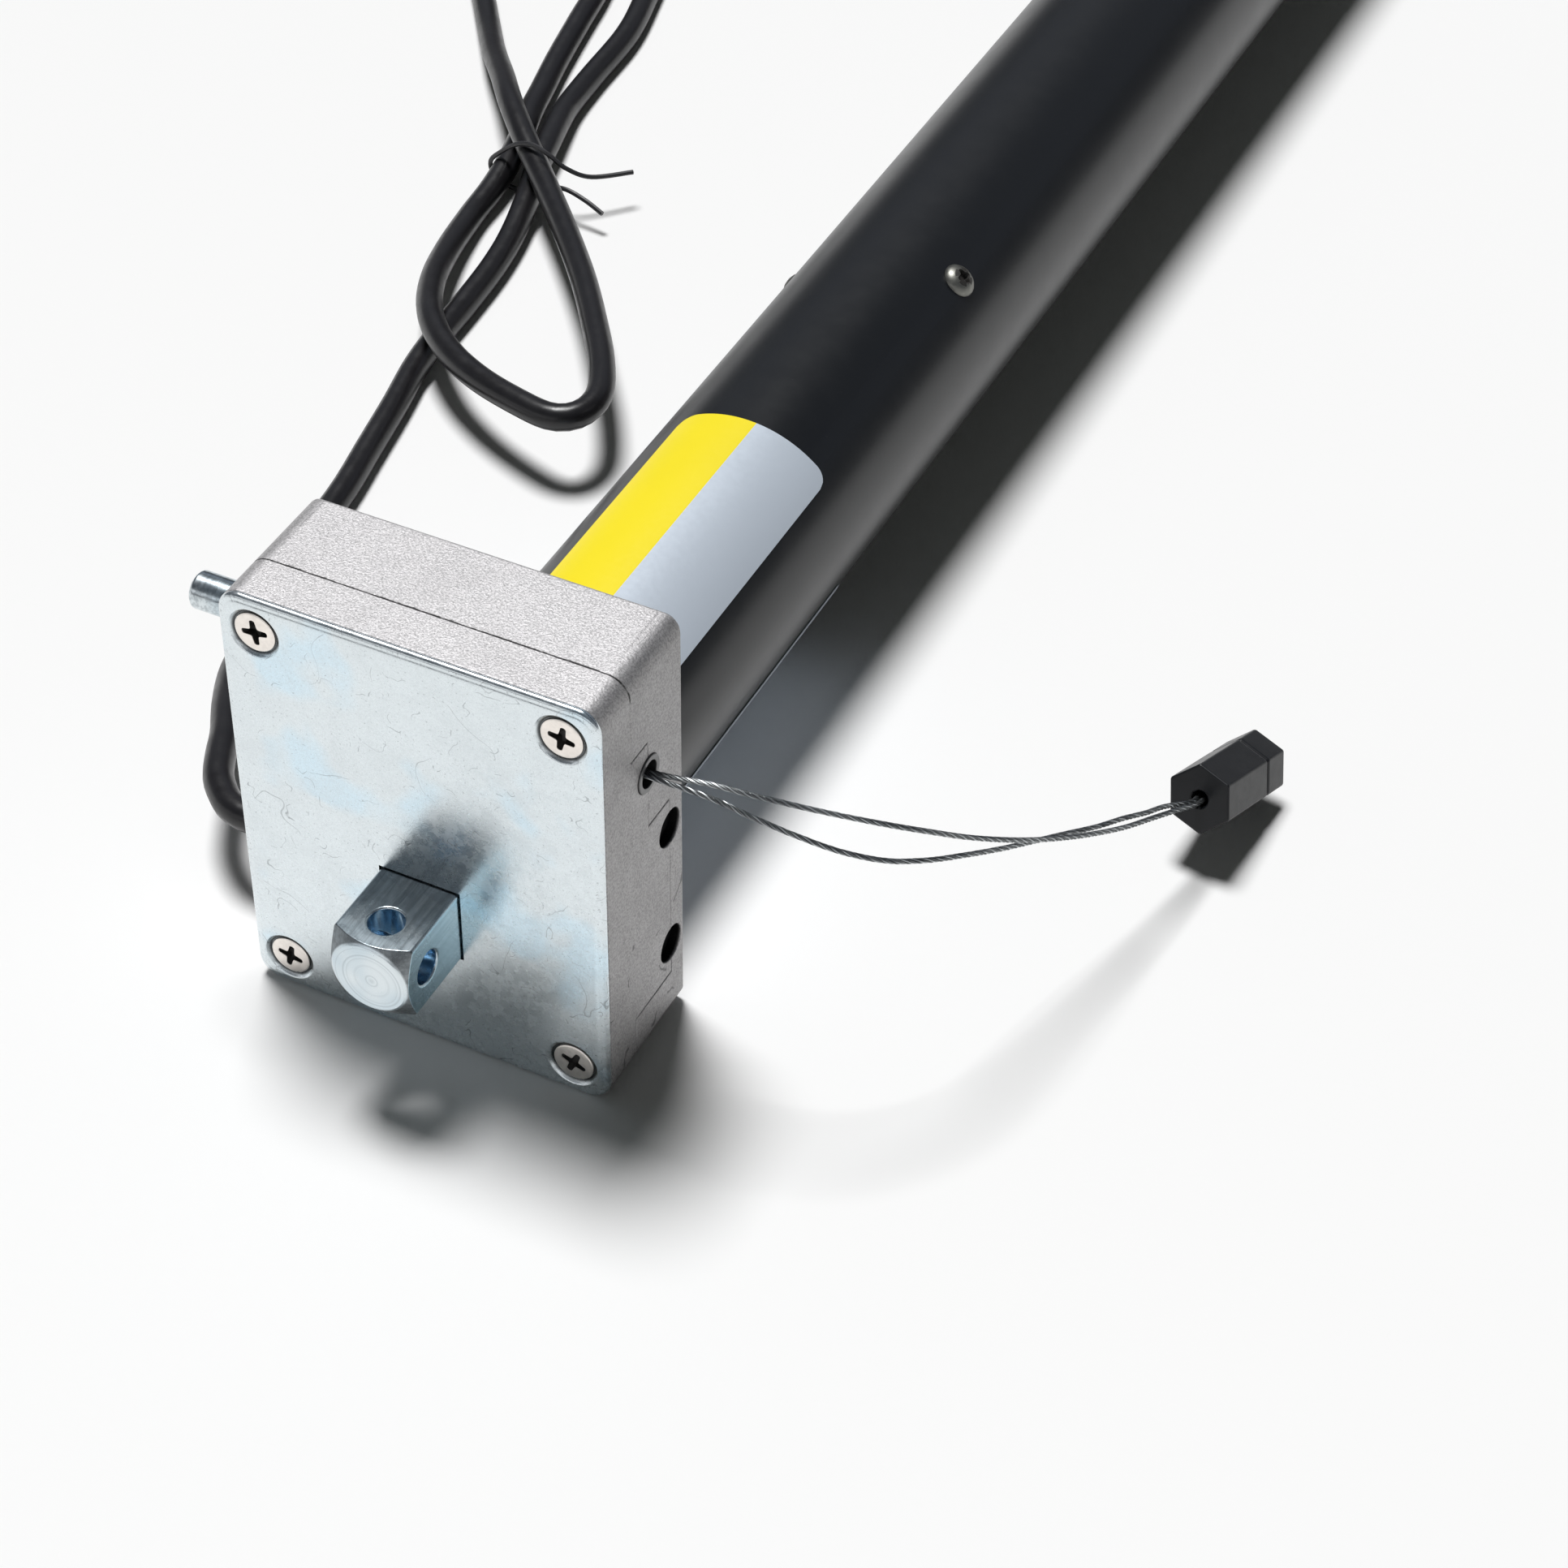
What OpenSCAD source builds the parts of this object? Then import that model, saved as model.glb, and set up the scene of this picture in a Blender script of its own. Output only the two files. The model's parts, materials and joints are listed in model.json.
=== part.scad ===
// Tubular roller blind motor: cast gear head with a square mounting stub, a crank pin and a
// release wire, a motor tube with brake and two planetary stages, and a tied power cord.
// X points to the head's right side, Y back along the tube and Z up.
// The origin is where the two cross holes of the mounting stub meet, on the tube's axis.

/* [Head] */
// Width of the cover plate and the castings
head_w = 75; // [70:0.5:84]
// Height of the cover plate and the castings
head_h = 93.8; // [92:0.2:104]
// Height of the tube axis above the underside of the head
head_drop = 32.4; // [31.6:0.2:34]
// Thickness of the cover plate
plate_t = 1.6; // [1.2:0.1:2]
// Corner radius of the plate and the castings
corner_r = 4.5; // [2:0.5:6]
// Depth of the front casting at its edges
front_depth = 9.6; // [9:0.1:10.6]
// Depth of the rear casting
rear_depth = 19.2; // [18.4:0.2:22]
// Side wall of both castings
wall = 3; // [2.4:0.1:3.6]
// Back wall of the rear casting
back_wall = 2.8; // [2.4:0.1:3.2]
// Rounding of the rear edges
rear_round = 1; // [0.5:0.5:5]
// Distance of the cover screws from the plate's edges
screw_inset = 7.3; // [6.6:0.1:8]
// Head diameter of the cover screws
cover_head_d = 8.2; // [7.6:0.1:8.6]
// Thread diameter of the cover screws
cover_screw_d = 4; // [3:0.5:4]

/* [Mounting stub] */
// Side of the square stub
stub_side = 16; // [12:0.5:18]
// Length of the stub in front of the plate
stub_len = 18.5; // [15:0.5:30]
// Distance of the cross holes from the stub's end
stub_hole_back = 7.1; // [6:0.1:9]
// Diameter of the cross holes
stub_hole_d = 8; // [5:0.5:9]
// Diameter of the flat end face
stub_end_d = 15.8; // [12:0.2:16]
// Side of the flange behind the plate
stub_flange = 28; // [24:1:32]

/* [Crank drive] */
// Diameter of the crank shaft and its pin
crank_d = 7.2; // [6:0.2:8]
// Length of the pin outside the head
crank_out = 13.2; // [8:0.2:30]
// Height of the crank axis above the tube axis
crank_z = 47.1; // [46.8:0.1:47.6]
// Module of the worm wheel
wheel_m = 1.05; // [1.02:0.01:1.06]
// Module of the pinion and the main gear
spur_m = 1.25; // [1.22:0.01:1.26]
// Diameter of the layshaft
layshaft_d = 6; // [5:0.5:7]

/* [Tube] */
// Outer diameter of the motor tube
tube_d = 48; // [47:0.5:52]
// Wall of the motor tube
tube_wall = 1.5; // [1:0.1:1.8]
// Length of the motor tube
tube_len = 425; // [420:5:520]
// Distance of the tube screws from the stub's cross holes
tube_screw_y = 212; // [206:1:220]
// Head diameter of the tube screws
tube_head_d = 7.6; // [6.5:0.1:8]
// End of the labels, from the stub's cross holes
label_end = 141; // [110:1:160]

/* [Motor] */
// Diameter of the capacitor
cap_d = 35; // [25:1:38]
// Length of the capacitor
cap_len = 80; // [50:5:90]
// Length of the stator core
core_len = 78; // [60:2:84]
// Bore of the stator core
stator_bore = 24.6; // [24:0.2:26]
// Air gap between rotor and stator
air_gap = 0.3; // [0.2:0.1:0.5]
// Diameter of the rotor shaft
rotor_shaft_d = 8; // [7:0.5:9]
// Outer diameter of the rotor bearings
rotor_bearing_d = 22; // [19:1:24]
// Travel of the brake's armature
brake_travel = 0.4; // [0.2:0.1:0.6]

/* [Gearbox] */
// Module of the planetary gears
planet_m = 0.75; // [0.74:0.005:0.755]
// Diameter of the output shaft
output_d = 15; // [13:1:17]
// Outer diameter of the output bearings
output_bearing_d = 32; // [28:1:35]
// Width of the drive wheel
drive_w = 18; // [12:1:24]

/* [Limits and release] */
// Diameter of the adjuster holes in the right side
adjuster_hole_d = 7.8; // [7:0.1:8]
// Height of the upper adjuster above the tube axis
adjuster_up_z = 16.1; // [15.6:0.1:16.6]
// Depth of the lower adjuster below the tube axis
adjuster_down_z = 13.1; // [12.8:0.1:14]
// Diameter of the wire hole in the right side
wire_hole_d = 7.6; // [7:0.1:8]
// Height of the wire hole above the tube axis
wire_z = 35.5; // [35:0.1:36.5]
// Diameter of the release wire
wire_d = 1; // [0.8:0.1:1.2]
// Width of the pull handle across its flats
pull_flats = 12.5; // [9:0.5:15]
// Length of the pull handle
pull_len = 26.6; // [20:0.5:32]

/* [Power cord] */
// Diameter of the power cord
cord_d = 6.2; // [5:0.1:6.4]
// Length of the bare cores at the free end
core_end = 12; // [6:1:20]

/* [Hidden] */
$fn = 48;

// Clearances
run_gap = 0.04;
seat_gap = 0.02;
face_gap = 0.3;
thread_gap = 0.03;

// Head, from front to back
face_y = stub_len - stub_hole_back;
cast_y = face_y + plate_t;
part_y = cast_y + front_depth;
back_y = part_y + rear_depth;
inner_back = back_y - back_wall;
top_z = head_h - head_drop;
side_x = head_w / 2;
web_t = 3;
web_y = cast_y + web_t;
screw_x = side_x - screw_inset;
screw_top = top_z - screw_inset;
screw_low = screw_inset - head_drop;
boss_r = 5;
boss_wall = 2.4;
thread_r = cover_screw_d / 2;
recess_r = cover_head_d / 2 + 1.1;
recess_t = 0.35;
head_rim = 0.4;
cone_h = (cover_head_d - cover_screw_d) / 2;
screw_tip = part_y + 12;
flange_t = 2.2;

// Parting steps on the right side, at the holes
wire_y = part_y + 6.1;
adjuster_y = part_y + 13.9;
step_top = wire_z + 7.1;
step_mid = adjuster_up_z + 6.9;
step_low = -adjuster_down_z - 7.2;
step_gap = 0.25;

// Gears of the crank drive, between web and worm wheel. The teeth are counted so that they mesh
// with a tooth of the main gear at the top and a tooth of the worm wheel at the side
wheel_teeth = 20;
pinion_teeth = 14;
main_teeth = 36;
main_y0 = web_y + 0.8;
main_y1 = main_y0 + 4.2;
main_pr = spur_m * main_teeth / 2;
pinion_pr = spur_m * pinion_teeth / 2;
layshaft_z = main_pr + pinion_pr;
crank_y = part_y + 1.8;
wheel_pr = wheel_m * wheel_teeth / 2;
worm_pr = crank_z - layshaft_z - wheel_pr;
wheel_half = 2.6;
worm_lead = PI * wheel_m;
worm_crest = worm_pr + 0.9;
worm_root = worm_pr - 1.15;
worm_half_len = 9;
worm_phase = 90;
spur_backlash = 0.24;
spur_add = 1.1;
spur_ded = 1.4;

// Crank bushes and pedestal
journal_r = crank_d / 2 - 0.5;
bush_wall = 2.3;
bush_r = journal_r + bush_wall;
bush_in = -side_x + wall + 3.5;
pedestal_x0 = 18;
pedestal_x1 = 24;
crank_end = pedestal_x1 + 3;
crank_room = 0.6;
lay_boss_r = layshaft_d / 2 + 4;
lay_bush_r = layshaft_d / 2 + 1.5;
lay_boss_y = part_y + 8.4;
lay_end = lay_boss_y + 5.6;

// Toothed sleeve
hub_r = 12;
gear_seat_r = 11;
gear_flat = 9.5;
hub_y0 = web_y + 0.3;
sleeve_bore_r = 8;
bearing_t = 3;
bearing_r = hub_r + run_gap + bearing_t;
bearing_y0 = back_y - 5;
tube_y0 = back_y + 1.4;
sleeve_flange_y = back_y + 0.3;
tube_r = tube_d / 2;
tube_in_r = tube_r - tube_wall;
fit_r = tube_in_r - seat_gap;
plug_len = 30;
tube_thread_r = 2;
tube_y1 = tube_y0 + tube_len;
label_t = 0.12;
label_r = tube_r + 0.06;
corner_ease = 0.04;
label_y0 = tube_y0 + 0.4;

// Motor, from front to back
cap_y0 = tube_y0 + plug_len + 12;
cap_gap = 0.12;
shield_y0 = tube_screw_y - 13;
shield_y1 = tube_screw_y + 15;
shield_wall = 3;
bearing_w = 7;
coil_end = 12;
core_y0 = shield_y1 + coil_end + 3;
core_y1 = core_y0 + core_len;
rear_y0 = core_y1 + coil_end + 3;
rear_y1 = rear_y0 + 13;
rotor_r = stator_bore / 2 - air_gap;
slot_count = 12;
slot_r = 2.6;
slot_ring_r = stator_bore / 2 + slot_r + 1.2;
rotor_bearing_r = rotor_bearing_d / 2;

// Brake
coil_y0 = rear_y1 + 0.3;
coil_y1 = coil_y0 + 15;
armature_y0 = coil_y1 + brake_travel + 0.1;
armature_y1 = armature_y0 + 3;
disc_y0 = armature_y1 + 0.1;
disc_y1 = disc_y0 + 3;
box_y0 = disc_y1 + 0.3;
box_wall = 3;

// Planetary stages. Three even planets fit because sun and ring teeth add up to a multiple of 3
sun_teeth = 9;
planet_teeth = 21;
ring_teeth = sun_teeth + 2 * planet_teeth;
planet_a = planet_m * (sun_teeth + planet_teeth) / 2;
sun_pr = planet_m * sun_teeth / 2;
planet_pr = planet_m * planet_teeth / 2;
ring_pr = planet_m * ring_teeth / 2;
gear_thin = 0.2;
stage1_y0 = box_y0 + box_wall + 1;
stage1_w = 10;
carrier1_y0 = stage1_y0 + stage1_w + 0.5;
carrier1_t = 4;
stage2_y0 = carrier1_y0 + carrier1_t + 1.5;
stage2_w = 13;
carrier2_y0 = stage2_y0 + stage2_w + 0.5;
carrier2_t = 5;
box_y1 = carrier2_y0 + carrier2_t + 1.5;
carrier_r = ring_pr - 1.8;
planet_pin_r = 2;

// Output end
output_r = output_d / 2;
output_bearing_r = output_bearing_d / 2;
output_bearing_w = 9;
cap_flange = 4;
cap_y1 = tube_y1 + cap_flange;
cap_in_y0 = tube_y1 - 44;
drive_y0 = cap_y1 + 3;
drive_y1 = drive_y0 + drive_w;
drive_r = head_drop;
key_half = 4;
key_deep = 6;
clip_w = 1.2;
shaft_end = drive_y1 + clip_w + 3;
output_flat = output_r - 1;

// Limit unit
adjuster_r = adjuster_hole_d / 2 - run_gap;
adjuster_face = side_x - 2.1;
adjuster_head_x = side_x - 8;
spindle_r = 2;
frame_x0 = 13.5;
frame_x1 = adjuster_head_x - 0.5;
frame_t = 2;
rail_y0 = part_y + 8.6;
rail_y1 = rail_y0 + 1.8;
nut_x0 = frame_x0 + frame_t + 0.8;
nut_len = 6;
nut_half = 3.2;

// Release lever
lever_x = 24.3;
lever_z = 19.5;
lever_t = 2;
lever_hub_r = 4;
lever_pin_r = 2;
lever_top = wire_z + 2.4;
lever_hub_y0 = main_y0 + 0.2;
lever_hub_y1 = rail_y0 - 0.4;
slot_half = 1.5;
shoe_gap = 0.35;
shoe_w = 3.8;
shoe_x0 = 12;
ferrule_r = 2.2;
ferrule_len = 4.5;
ferrule_x1 = lever_x - lever_t / 2 - face_gap;
ferrule_x0 = ferrule_x1 - ferrule_len;
bush_x0 = side_x - 4;
bush_x1 = side_x + 0.3;
bush_bore_r = 2.7;

// Pull handle, tilted down so that its far end rests on the table
pull_face = [108.8, 120.8, -16.6];
pull_turn = 7.6;
pull_tilt = 20;
pull_roll = 14.5;
pull_r = pull_flats / 2 / cos(30);
pull_hole_r = 1.7;
pull_hole_len = 12;
groove_at = 18.6;
groove_w = 0.8;
groove_r = pull_flats / 2 - 0.5;
strand_gap = wire_d + 0.2;
wire_sides = 8;

// Route of one wire strand from the head to the pull handle, and of the other
wire_out = [[38, wire_y, wire_z], [48.1, 30, 36], [56.7, 31.6, 35.4], [64.7, 34.3, 33.8], [71.1, 38, 31.3],
    [77.2, 42.7, 28], [82.6, 48.4, 23.9], [87, 54.6, 19.3], [91.1, 62.1, 14.1], [94.4, 69.8, 9],
    [97.5, 78.5, 3.6], [100.3, 87.1, -1.3], [102.7, 95.5, -5.8], [104.8, 103.1, -9.2],
    [107, 110.2, -12.2]];
wire_back = [[105.5, 110.2, -10.6], [103.9, 104.2, -7.9], [101.6, 97.8, -5], [99, 90.3, -2], [96, 82.3, 1.7],
    [93, 73.5, 5.9], [90.2, 64.7, 10.3], [86.9, 55.4, 15.2], [83, 48, 18.6], [77.8, 42, 21.3],
    [71.6, 37.3, 24.6], [65, 33.9, 28.1], [56.8, 31.4, 31.5], [49.4, 29.9, 34.2],
    [38, wire_y, wire_z]];

// Route of the power cord: out of the relief, along the table, through the tie, round the
// upper lobe, over itself into the lower loop and back through the tie to its free end
cord_r = cord_d / 2;
relief_y = part_y + 9.4;
relief_z = -15.4;
relief_len = 12;
relief_neck_r = cord_r + 1.1;
relief_tip = -side_x - relief_len;
cord_sides = 10;
cord_rings = 80;
cord_route = [
    [relief_tip - 3, relief_y, relief_z], [-55.5, 33, -15.6], [-58.5, 35, -15.9], [-63, 39.5, -16.3],
    [-66.5, 45.5, -17], [-70, 52.5, -18], [-76, 62, -20.4], [-82.5, 74, -24],
    [-87.5, 87, -27.4], [-91, 99.5, -28.9], [-94, 112, -29.2], [-96, 124, -29.2],
    [-98, 141.5, -29.2], [-101, 157.5, -29.2], [-104, 173.5, -29.2], [-107, 187.5, -29.2],
    [-108.5, 199.5, -29.2], [-109.5, 214.5, -29.2], [-111, 230.5, -29.1], [-113.5, 244.5, -28.8],
    [-117.5, 259.5, -28], [-121.5, 271.5, -27.4], [-124, 281, -27.4], [-127, 292, -28],
    [-129, 301, -28.8], [-130.5, 315.5, -29.2], [-132, 336.5, -29.2], [-136, 354.5, -29.2],
    [-142, 374, -29.2], [-152, 392, -29.2], [-167, 403, -29.2], [-184, 401, -29.2],
    [-195, 388, -29.2], [-194, 371, -29.2], [-186, 354, -29.2], [-174, 336.5, -28.9],
    [-164, 322, -27.8], [-155, 309, -25.6], [-145, 296, -22.8], [-136, 284, -20.8],
    [-126, 272.5, -20.6], [-113, 259, -22],
    [-97, 241, -21], [-83, 224, -19.6], [-71, 207.5, -18.2],
    [-62, 194, -17], [-56.5, 182.5, -16.4], [-57, 174.5, -16.3], [-62, 171, -16.4],
    [-71.5, 173, -17], [-85, 178.5, -18.4], [-97.5, 186.5, -19.8],
    [-108.5, 198, -21.4], [-117, 213, -24.4], [-122.5, 229, -27.2], [-126, 246, -28.8],
    [-127, 258, -28.4], [-128.5, 269.5, -27.4], [-131.5, 281, -27.4], [-135.5, 293, -28.2],
    [-138.5, 304, -29], [-142, 318, -29.2], [-146, 337, -29.2], [-149, 352, -29.2],
    [-153, 366, -29.2], [-159, 379, -29.2]];
core_r = 0.9;

// Twist tie: one turn round the three strands and two free tails
tie_r = 0.6;
tie_sides = 6;
tie_rings = 44;
tie_route = [[-97, 274.6, -24], [-104.3, 267, -23.2], [-109.5, 264, -20.6], [-113.6, 263.6, -18],
    [-118.5, 264.3, -16.9], [-123.5, 265.2, -18.6], [-128.7, 266.1, -22.8], [-132.1, 266.8, -26.8],
    [-131.2, 266.6, -30.3], [-127.8, 266, -31.6], [-122.5, 265, -31.65], [-117.8, 264, -31.6],
    [-114.4, 263.3, -29.6], [-112.6, 262.4, -26.2], [-108.2, 261.6, -24.8], [-102.5, 260.8, -25.8],
    [-97.5, 259.8, -27.4]];

// Helpers

// A cylinder along Y
module ycyl(r, y0, y1, x = 0, z = 0) {
    translate([x, y1, z]) rotate([90, 0, 0]) cylinder(r = r, h = y1 - y0);
}

// A ring along Y
module yring(r_out, r_in, y0, y1, x = 0, z = 0) {
    difference() {
        ycyl(r_out, y0, y1, x, z);
        ycyl(r_in, y0 - 1, y1 + 1, x, z);
    }
}

// A cylinder along X
module xcyl(r, x0, x1, y, z) {
    translate([x0, y, z]) rotate([0, 90, 0]) cylinder(r = r, h = x1 - x0);
}

// An outline in X and Z, drawn out along Y
module along_y(y0, y1) {
    translate([0, y1, 0]) rotate([90, 0, 0]) linear_extrude(y1 - y0) children();
}

// A box from its lower to its upper corner
module box(lo, hi) {
    translate(lo) cube([hi[0] - lo[0], hi[1] - lo[1], hi[2] - lo[2]]);
}

// A rectangle with round corners, from its lower to its upper corner
module round_rect(x0, y0, x1, y1, r) {
    translate([x0 + r, y0]) square([x1 - x0 - 2 * r, y1 - y0]);
    translate([x0, y0 + r]) square([x1 - x0, y1 - y0 - 2 * r]);
    for (x = [x0 + r, x1 - r], y = [y0 + r, y1 - r])
        translate([x, y]) circle(r);
}

// The head's outline in X and Z
module head_outline() {
    round_rect(-side_x, -head_drop, side_x, top_z, corner_r);
}

// Places a child at each cover screw
module at_cover_screws() {
    for (x = [-screw_x, screw_x], z = [screw_low, screw_top])
        translate([x, 0, z]) children();
}

// The cross recess of a screw, sunk along Y from y
module cross_recess(y, size, depth) {
    box([-size / 2, y - 1, -0.5], [size / 2, y + depth, 0.5]);
    box([-0.5, y - 1, -size / 2], [0.5, y + depth, size / 2]);
}

// Involute teeth
function inv(a) = tan(a) * 180 / PI - a;
function half_tooth(teeth, m, thick, r, pa) =
    let (pr = m * teeth / 2, br = pr * cos(pa), a = r > br ? acos(br / r) : 0)
    thick / (2 * pr) * 180 / PI + inv(pa) - inv(a);
function gear_points(teeth, m, root, tip, thick, pa = 25, steps = 4) = [
    for (i = [0 : teeth - 1])
        each concat(
            [for (s = [0 : steps]) let (r = root + (tip - root) * s / steps)
                r * [cos(i * 360 / teeth - half_tooth(teeth, m, thick, r, pa)),
                    sin(i * 360 / teeth - half_tooth(teeth, m, thick, r, pa))]],
            [for (s = [steps : -1 : 0]) let (r = root + (tip - root) * s / steps)
                r * [cos(i * 360 / teeth + half_tooth(teeth, m, thick, r, pa)),
                    sin(i * 360 / teeth + half_tooth(teeth, m, thick, r, pa))]])];

// Smooth curve through a list of points
function spline_at(p, i, t) =
    let (n = len(p), a = p[max(i - 1, 0)], b = p[i], c = p[min(i + 1, n - 1)], d = p[min(i + 2, n - 1)])
    0.5 * ((2 * b) + (c - a) * t + (2 * a - 5 * b + 4 * c - d) * t * t
        + (3 * b - a - 3 * c + d) * t * t * t);
function fine_curve(p, n = 8) = concat(
    [for (i = [0 : len(p) - 2], k = [0 : n - 1]) spline_at(p, i, k / n)], [p[len(p) - 1]]);
function run_length(p, i = 0, acc = [0]) = i >= len(p) - 1 ? acc
    : run_length(p, i + 1, concat(acc, [acc[i] + norm(p[i + 1] - p[i])]));
function even_points(p, rings) =
    let (s = run_length(p), total = s[len(s) - 1])
    [for (k = [0 : rings - 1])
        let (d = total * k / (rings - 1), i = min(len(p) - 2, max([0, each [for (j = [0 : len(p) - 2])
            if (s[j] <= d) j]])))
        p[i] + (p[i + 1] - p[i]) * (s[i + 1] > s[i] ? (d - s[i]) / (s[i + 1] - s[i]) : 0)];
function unit(v) = v / norm(v);
function heading(p, i) = unit(p[min(i + 1, len(p) - 1)] - p[max(i - 1, 0)]);
function carried(p, i, side) = let (t = heading(p, i), s = side - (side * t) * t) unit(s);
function sides_along(p, side, i = 0, acc = []) = i >= len(p) ? acc
    : sides_along(p, side, i + 1, concat(acc, [carried(p, i, i == 0 ? side : acc[i - 1])]));

// A round tube swept along points, closed at both ends
module swept(p, r, sides, side = [0.1, 0.2, 1]) {
    u = sides_along(p, side);
    rings = [for (i = [0 : len(p) - 1]) let (t = heading(p, i), v = cross(t, u[i]))
        for (k = [0 : sides - 1]) p[i] + r * (cos(k * 360 / sides) * u[i] + sin(k * 360 / sides) * v)];
    last = (len(p) - 1) * sides;
    skin = [for (i = [0 : len(p) - 2], k = [0 : sides - 1]) let (a = i * sides, b = a + sides,
        n = (k + 1) % sides) each [[a + k, b + n, a + n], [a + k, b + k, b + n]]];
    front = [for (k = [1 : sides - 2]) [0, k, k + 1]];
    back = [for (k = [1 : sides - 2]) [last, last + k + 1, last + k]];
    polyhedron(points = rings, faces = concat(skin, front, back));
}

// Cast head

module rear_envelope() {
    long = back_y + 40;
    intersection() {
        along_y(-1, back_y) head_outline();
        rotate([90, 0, 90]) translate([0, 0, -side_x]) linear_extrude(head_w)
            round_rect(-long, -head_drop, back_y, top_z, rear_round);
        translate([0, 0, -head_drop]) linear_extrude(head_h)
            round_rect(-side_x, -long, side_x, back_y, rear_round);
    }
}

// The tongue of the front casting on the right side, up to the three holes
module tongue(gap) {
    x0 = side_x - wall;
    box([x0, part_y - 1, step_mid - 0.01], [side_x + gap, wire_y, step_top + gap]);
    box([x0, part_y - 1, step_low - gap], [side_x + gap, adjuster_y, step_mid + gap]);
}

module side_holes() {
    xcyl(wire_hole_d / 2, side_x - wall - 1, side_x + 2, wire_y, wire_z);
    xcyl(adjuster_hole_d / 2, side_x - wall - 1, side_x + 2, adjuster_y, adjuster_up_z);
    xcyl(adjuster_hole_d / 2, side_x - wall - 1, side_x + 2, adjuster_y, -adjuster_down_z);
}

// Room for the left bush and for the bare shaft past the screw bosses
module crank_bore() {
    xcyl(bush_r + seat_gap, -side_x - 1, bush_in + 1, crank_y, crank_z);
    xcyl(crank_d / 2 + crank_room, bush_in, pedestal_x0 - 1, crank_y, crank_z);
    xcyl(crank_d / 2 + crank_room, pedestal_x1 + 1, crank_end + 1, crank_y, crank_z);
}

module cover_plate() {
    color("lightsteelblue") difference() {
        along_y(face_y, cast_y) head_outline();
        box([-stub_side / 2, face_y - 1, -stub_side / 2] - [seat_gap, 0, seat_gap],
            [stub_side / 2, cast_y + 1, stub_side / 2] + [seat_gap, 0, seat_gap]);
        at_cover_screws() {
            ycyl(recess_r, face_y - 1, face_y + recess_t);
            ycyl(cover_head_d / 2 + thread_gap, face_y - 1, face_y + recess_t + head_rim);
            screw_cone(thread_gap);
        }
    }
}

module screw_cone(gap) {
    translate([0, face_y + recess_t + head_rim, 0]) rotate([-90, 0, 0])
        cylinder(r1 = cover_head_d / 2 + gap, r2 = thread_r + gap, h = cone_h);
    ycyl(thread_r + gap, face_y + recess_t, cast_y + 2);
}

module cover_screws() {
    color("silver") at_cover_screws() difference() {
        union() {
            ycyl(cover_head_d / 2, face_y + recess_t, face_y + recess_t + head_rim);
            screw_cone(0);
            ycyl(thread_r, cast_y, screw_tip);
        }
        cross_recess(face_y + recess_t, 4.6, 1.3);
    }
}

module front_housing() {
    color("gainsboro") difference() {
        union() {
            along_y(cast_y, part_y) difference() {
                head_outline();
                round_rect(wall - side_x, wall - head_drop, side_x - wall, top_z - wall, 1);
            }
            along_y(cast_y, web_y) head_outline();
            at_cover_screws() ycyl(boss_r, cast_y, part_y);
            intersection() {
                tongue(0);
                along_y(cast_y, back_y) head_outline();
            }
            intersection() {
                xcyl(bush_r + boss_wall, 1 - side_x, bush_in, crank_y, crank_z);
                box([-side_x, cast_y, 0], [0, part_y, top_z - 1]);
            }
            ycyl(lay_boss_r, cast_y, web_y, 0, layshaft_z);
        }
        box([-stub_flange / 2, cast_y - 1, -stub_flange / 2] - [seat_gap, 0, seat_gap],
            [stub_flange / 2, cast_y + flange_t, stub_flange / 2] + [seat_gap, 0, seat_gap]);
        at_cover_screws() {
            screw_cone(thread_gap);
            ycyl(thread_r + 0.1, cast_y - 1, part_y + 1);
        }
        side_holes();
        crank_bore();
        ycyl(lay_bush_r + seat_gap, cast_y - 1, web_y + 1, 0, layshaft_z);
        ycyl(lever_pin_r + seat_gap, cast_y - 1, web_y + 1, lever_x, lever_z);
    }
}

module rear_housing() {
    color("lightgray") difference() {
        intersection() {
            rear_envelope();
            union() {
                difference() {
                    along_y(part_y, back_y) head_outline();
                    along_y(part_y - 1, inner_back)
                        round_rect(wall - side_x, wall - head_drop, side_x - wall, top_z - wall, 1);
                }
                at_cover_screws() ycyl(boss_r, part_y, inner_back + 1);
                intersection() {
                    xcyl(bush_r + boss_wall, 1 - side_x, bush_in, crank_y, crank_z);
                    box([-side_x, part_y, 0], [0, back_y, top_z - 1]);
                }
                box([pedestal_x0, crank_y - bush_r - 2, crank_z - bush_r - 1],
                    [pedestal_x1, back_y - 1, top_z - wall - 0.3]);
                box([pedestal_x0, part_y, crank_z], [pedestal_x1, back_y - 1, top_z - wall + 0.5]);
                ycyl(lay_boss_r, lay_boss_y, back_y - 1, 0, layshaft_z);
                ycyl(bearing_r + boss_wall, bearing_y0, back_y);
            }
        }
        tongue(step_gap);
        side_holes();
        crank_bore();
        xcyl(bush_r + seat_gap, pedestal_x0 - 1, pedestal_x1 + 1, crank_y, crank_z);
        at_cover_screws() ycyl(thread_r + thread_gap, part_y - 1, screw_tip + 1);
        ycyl(bearing_r + seat_gap, bearing_y0 - 1, back_y + 1);
        ycyl(lay_bush_r + seat_gap, lay_boss_y - 1, lay_end + 0.2, 0, layshaft_z);
        for (z = [adjuster_up_z, -adjuster_down_z])
            xcyl(adjuster_r + 0.4, frame_x0 - 0.5, side_x - wall, adjuster_y, z);
        xcyl(relief_neck_r + 0.1, -side_x - 1, wall - side_x + 1, relief_y, relief_z);
    }
}

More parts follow.
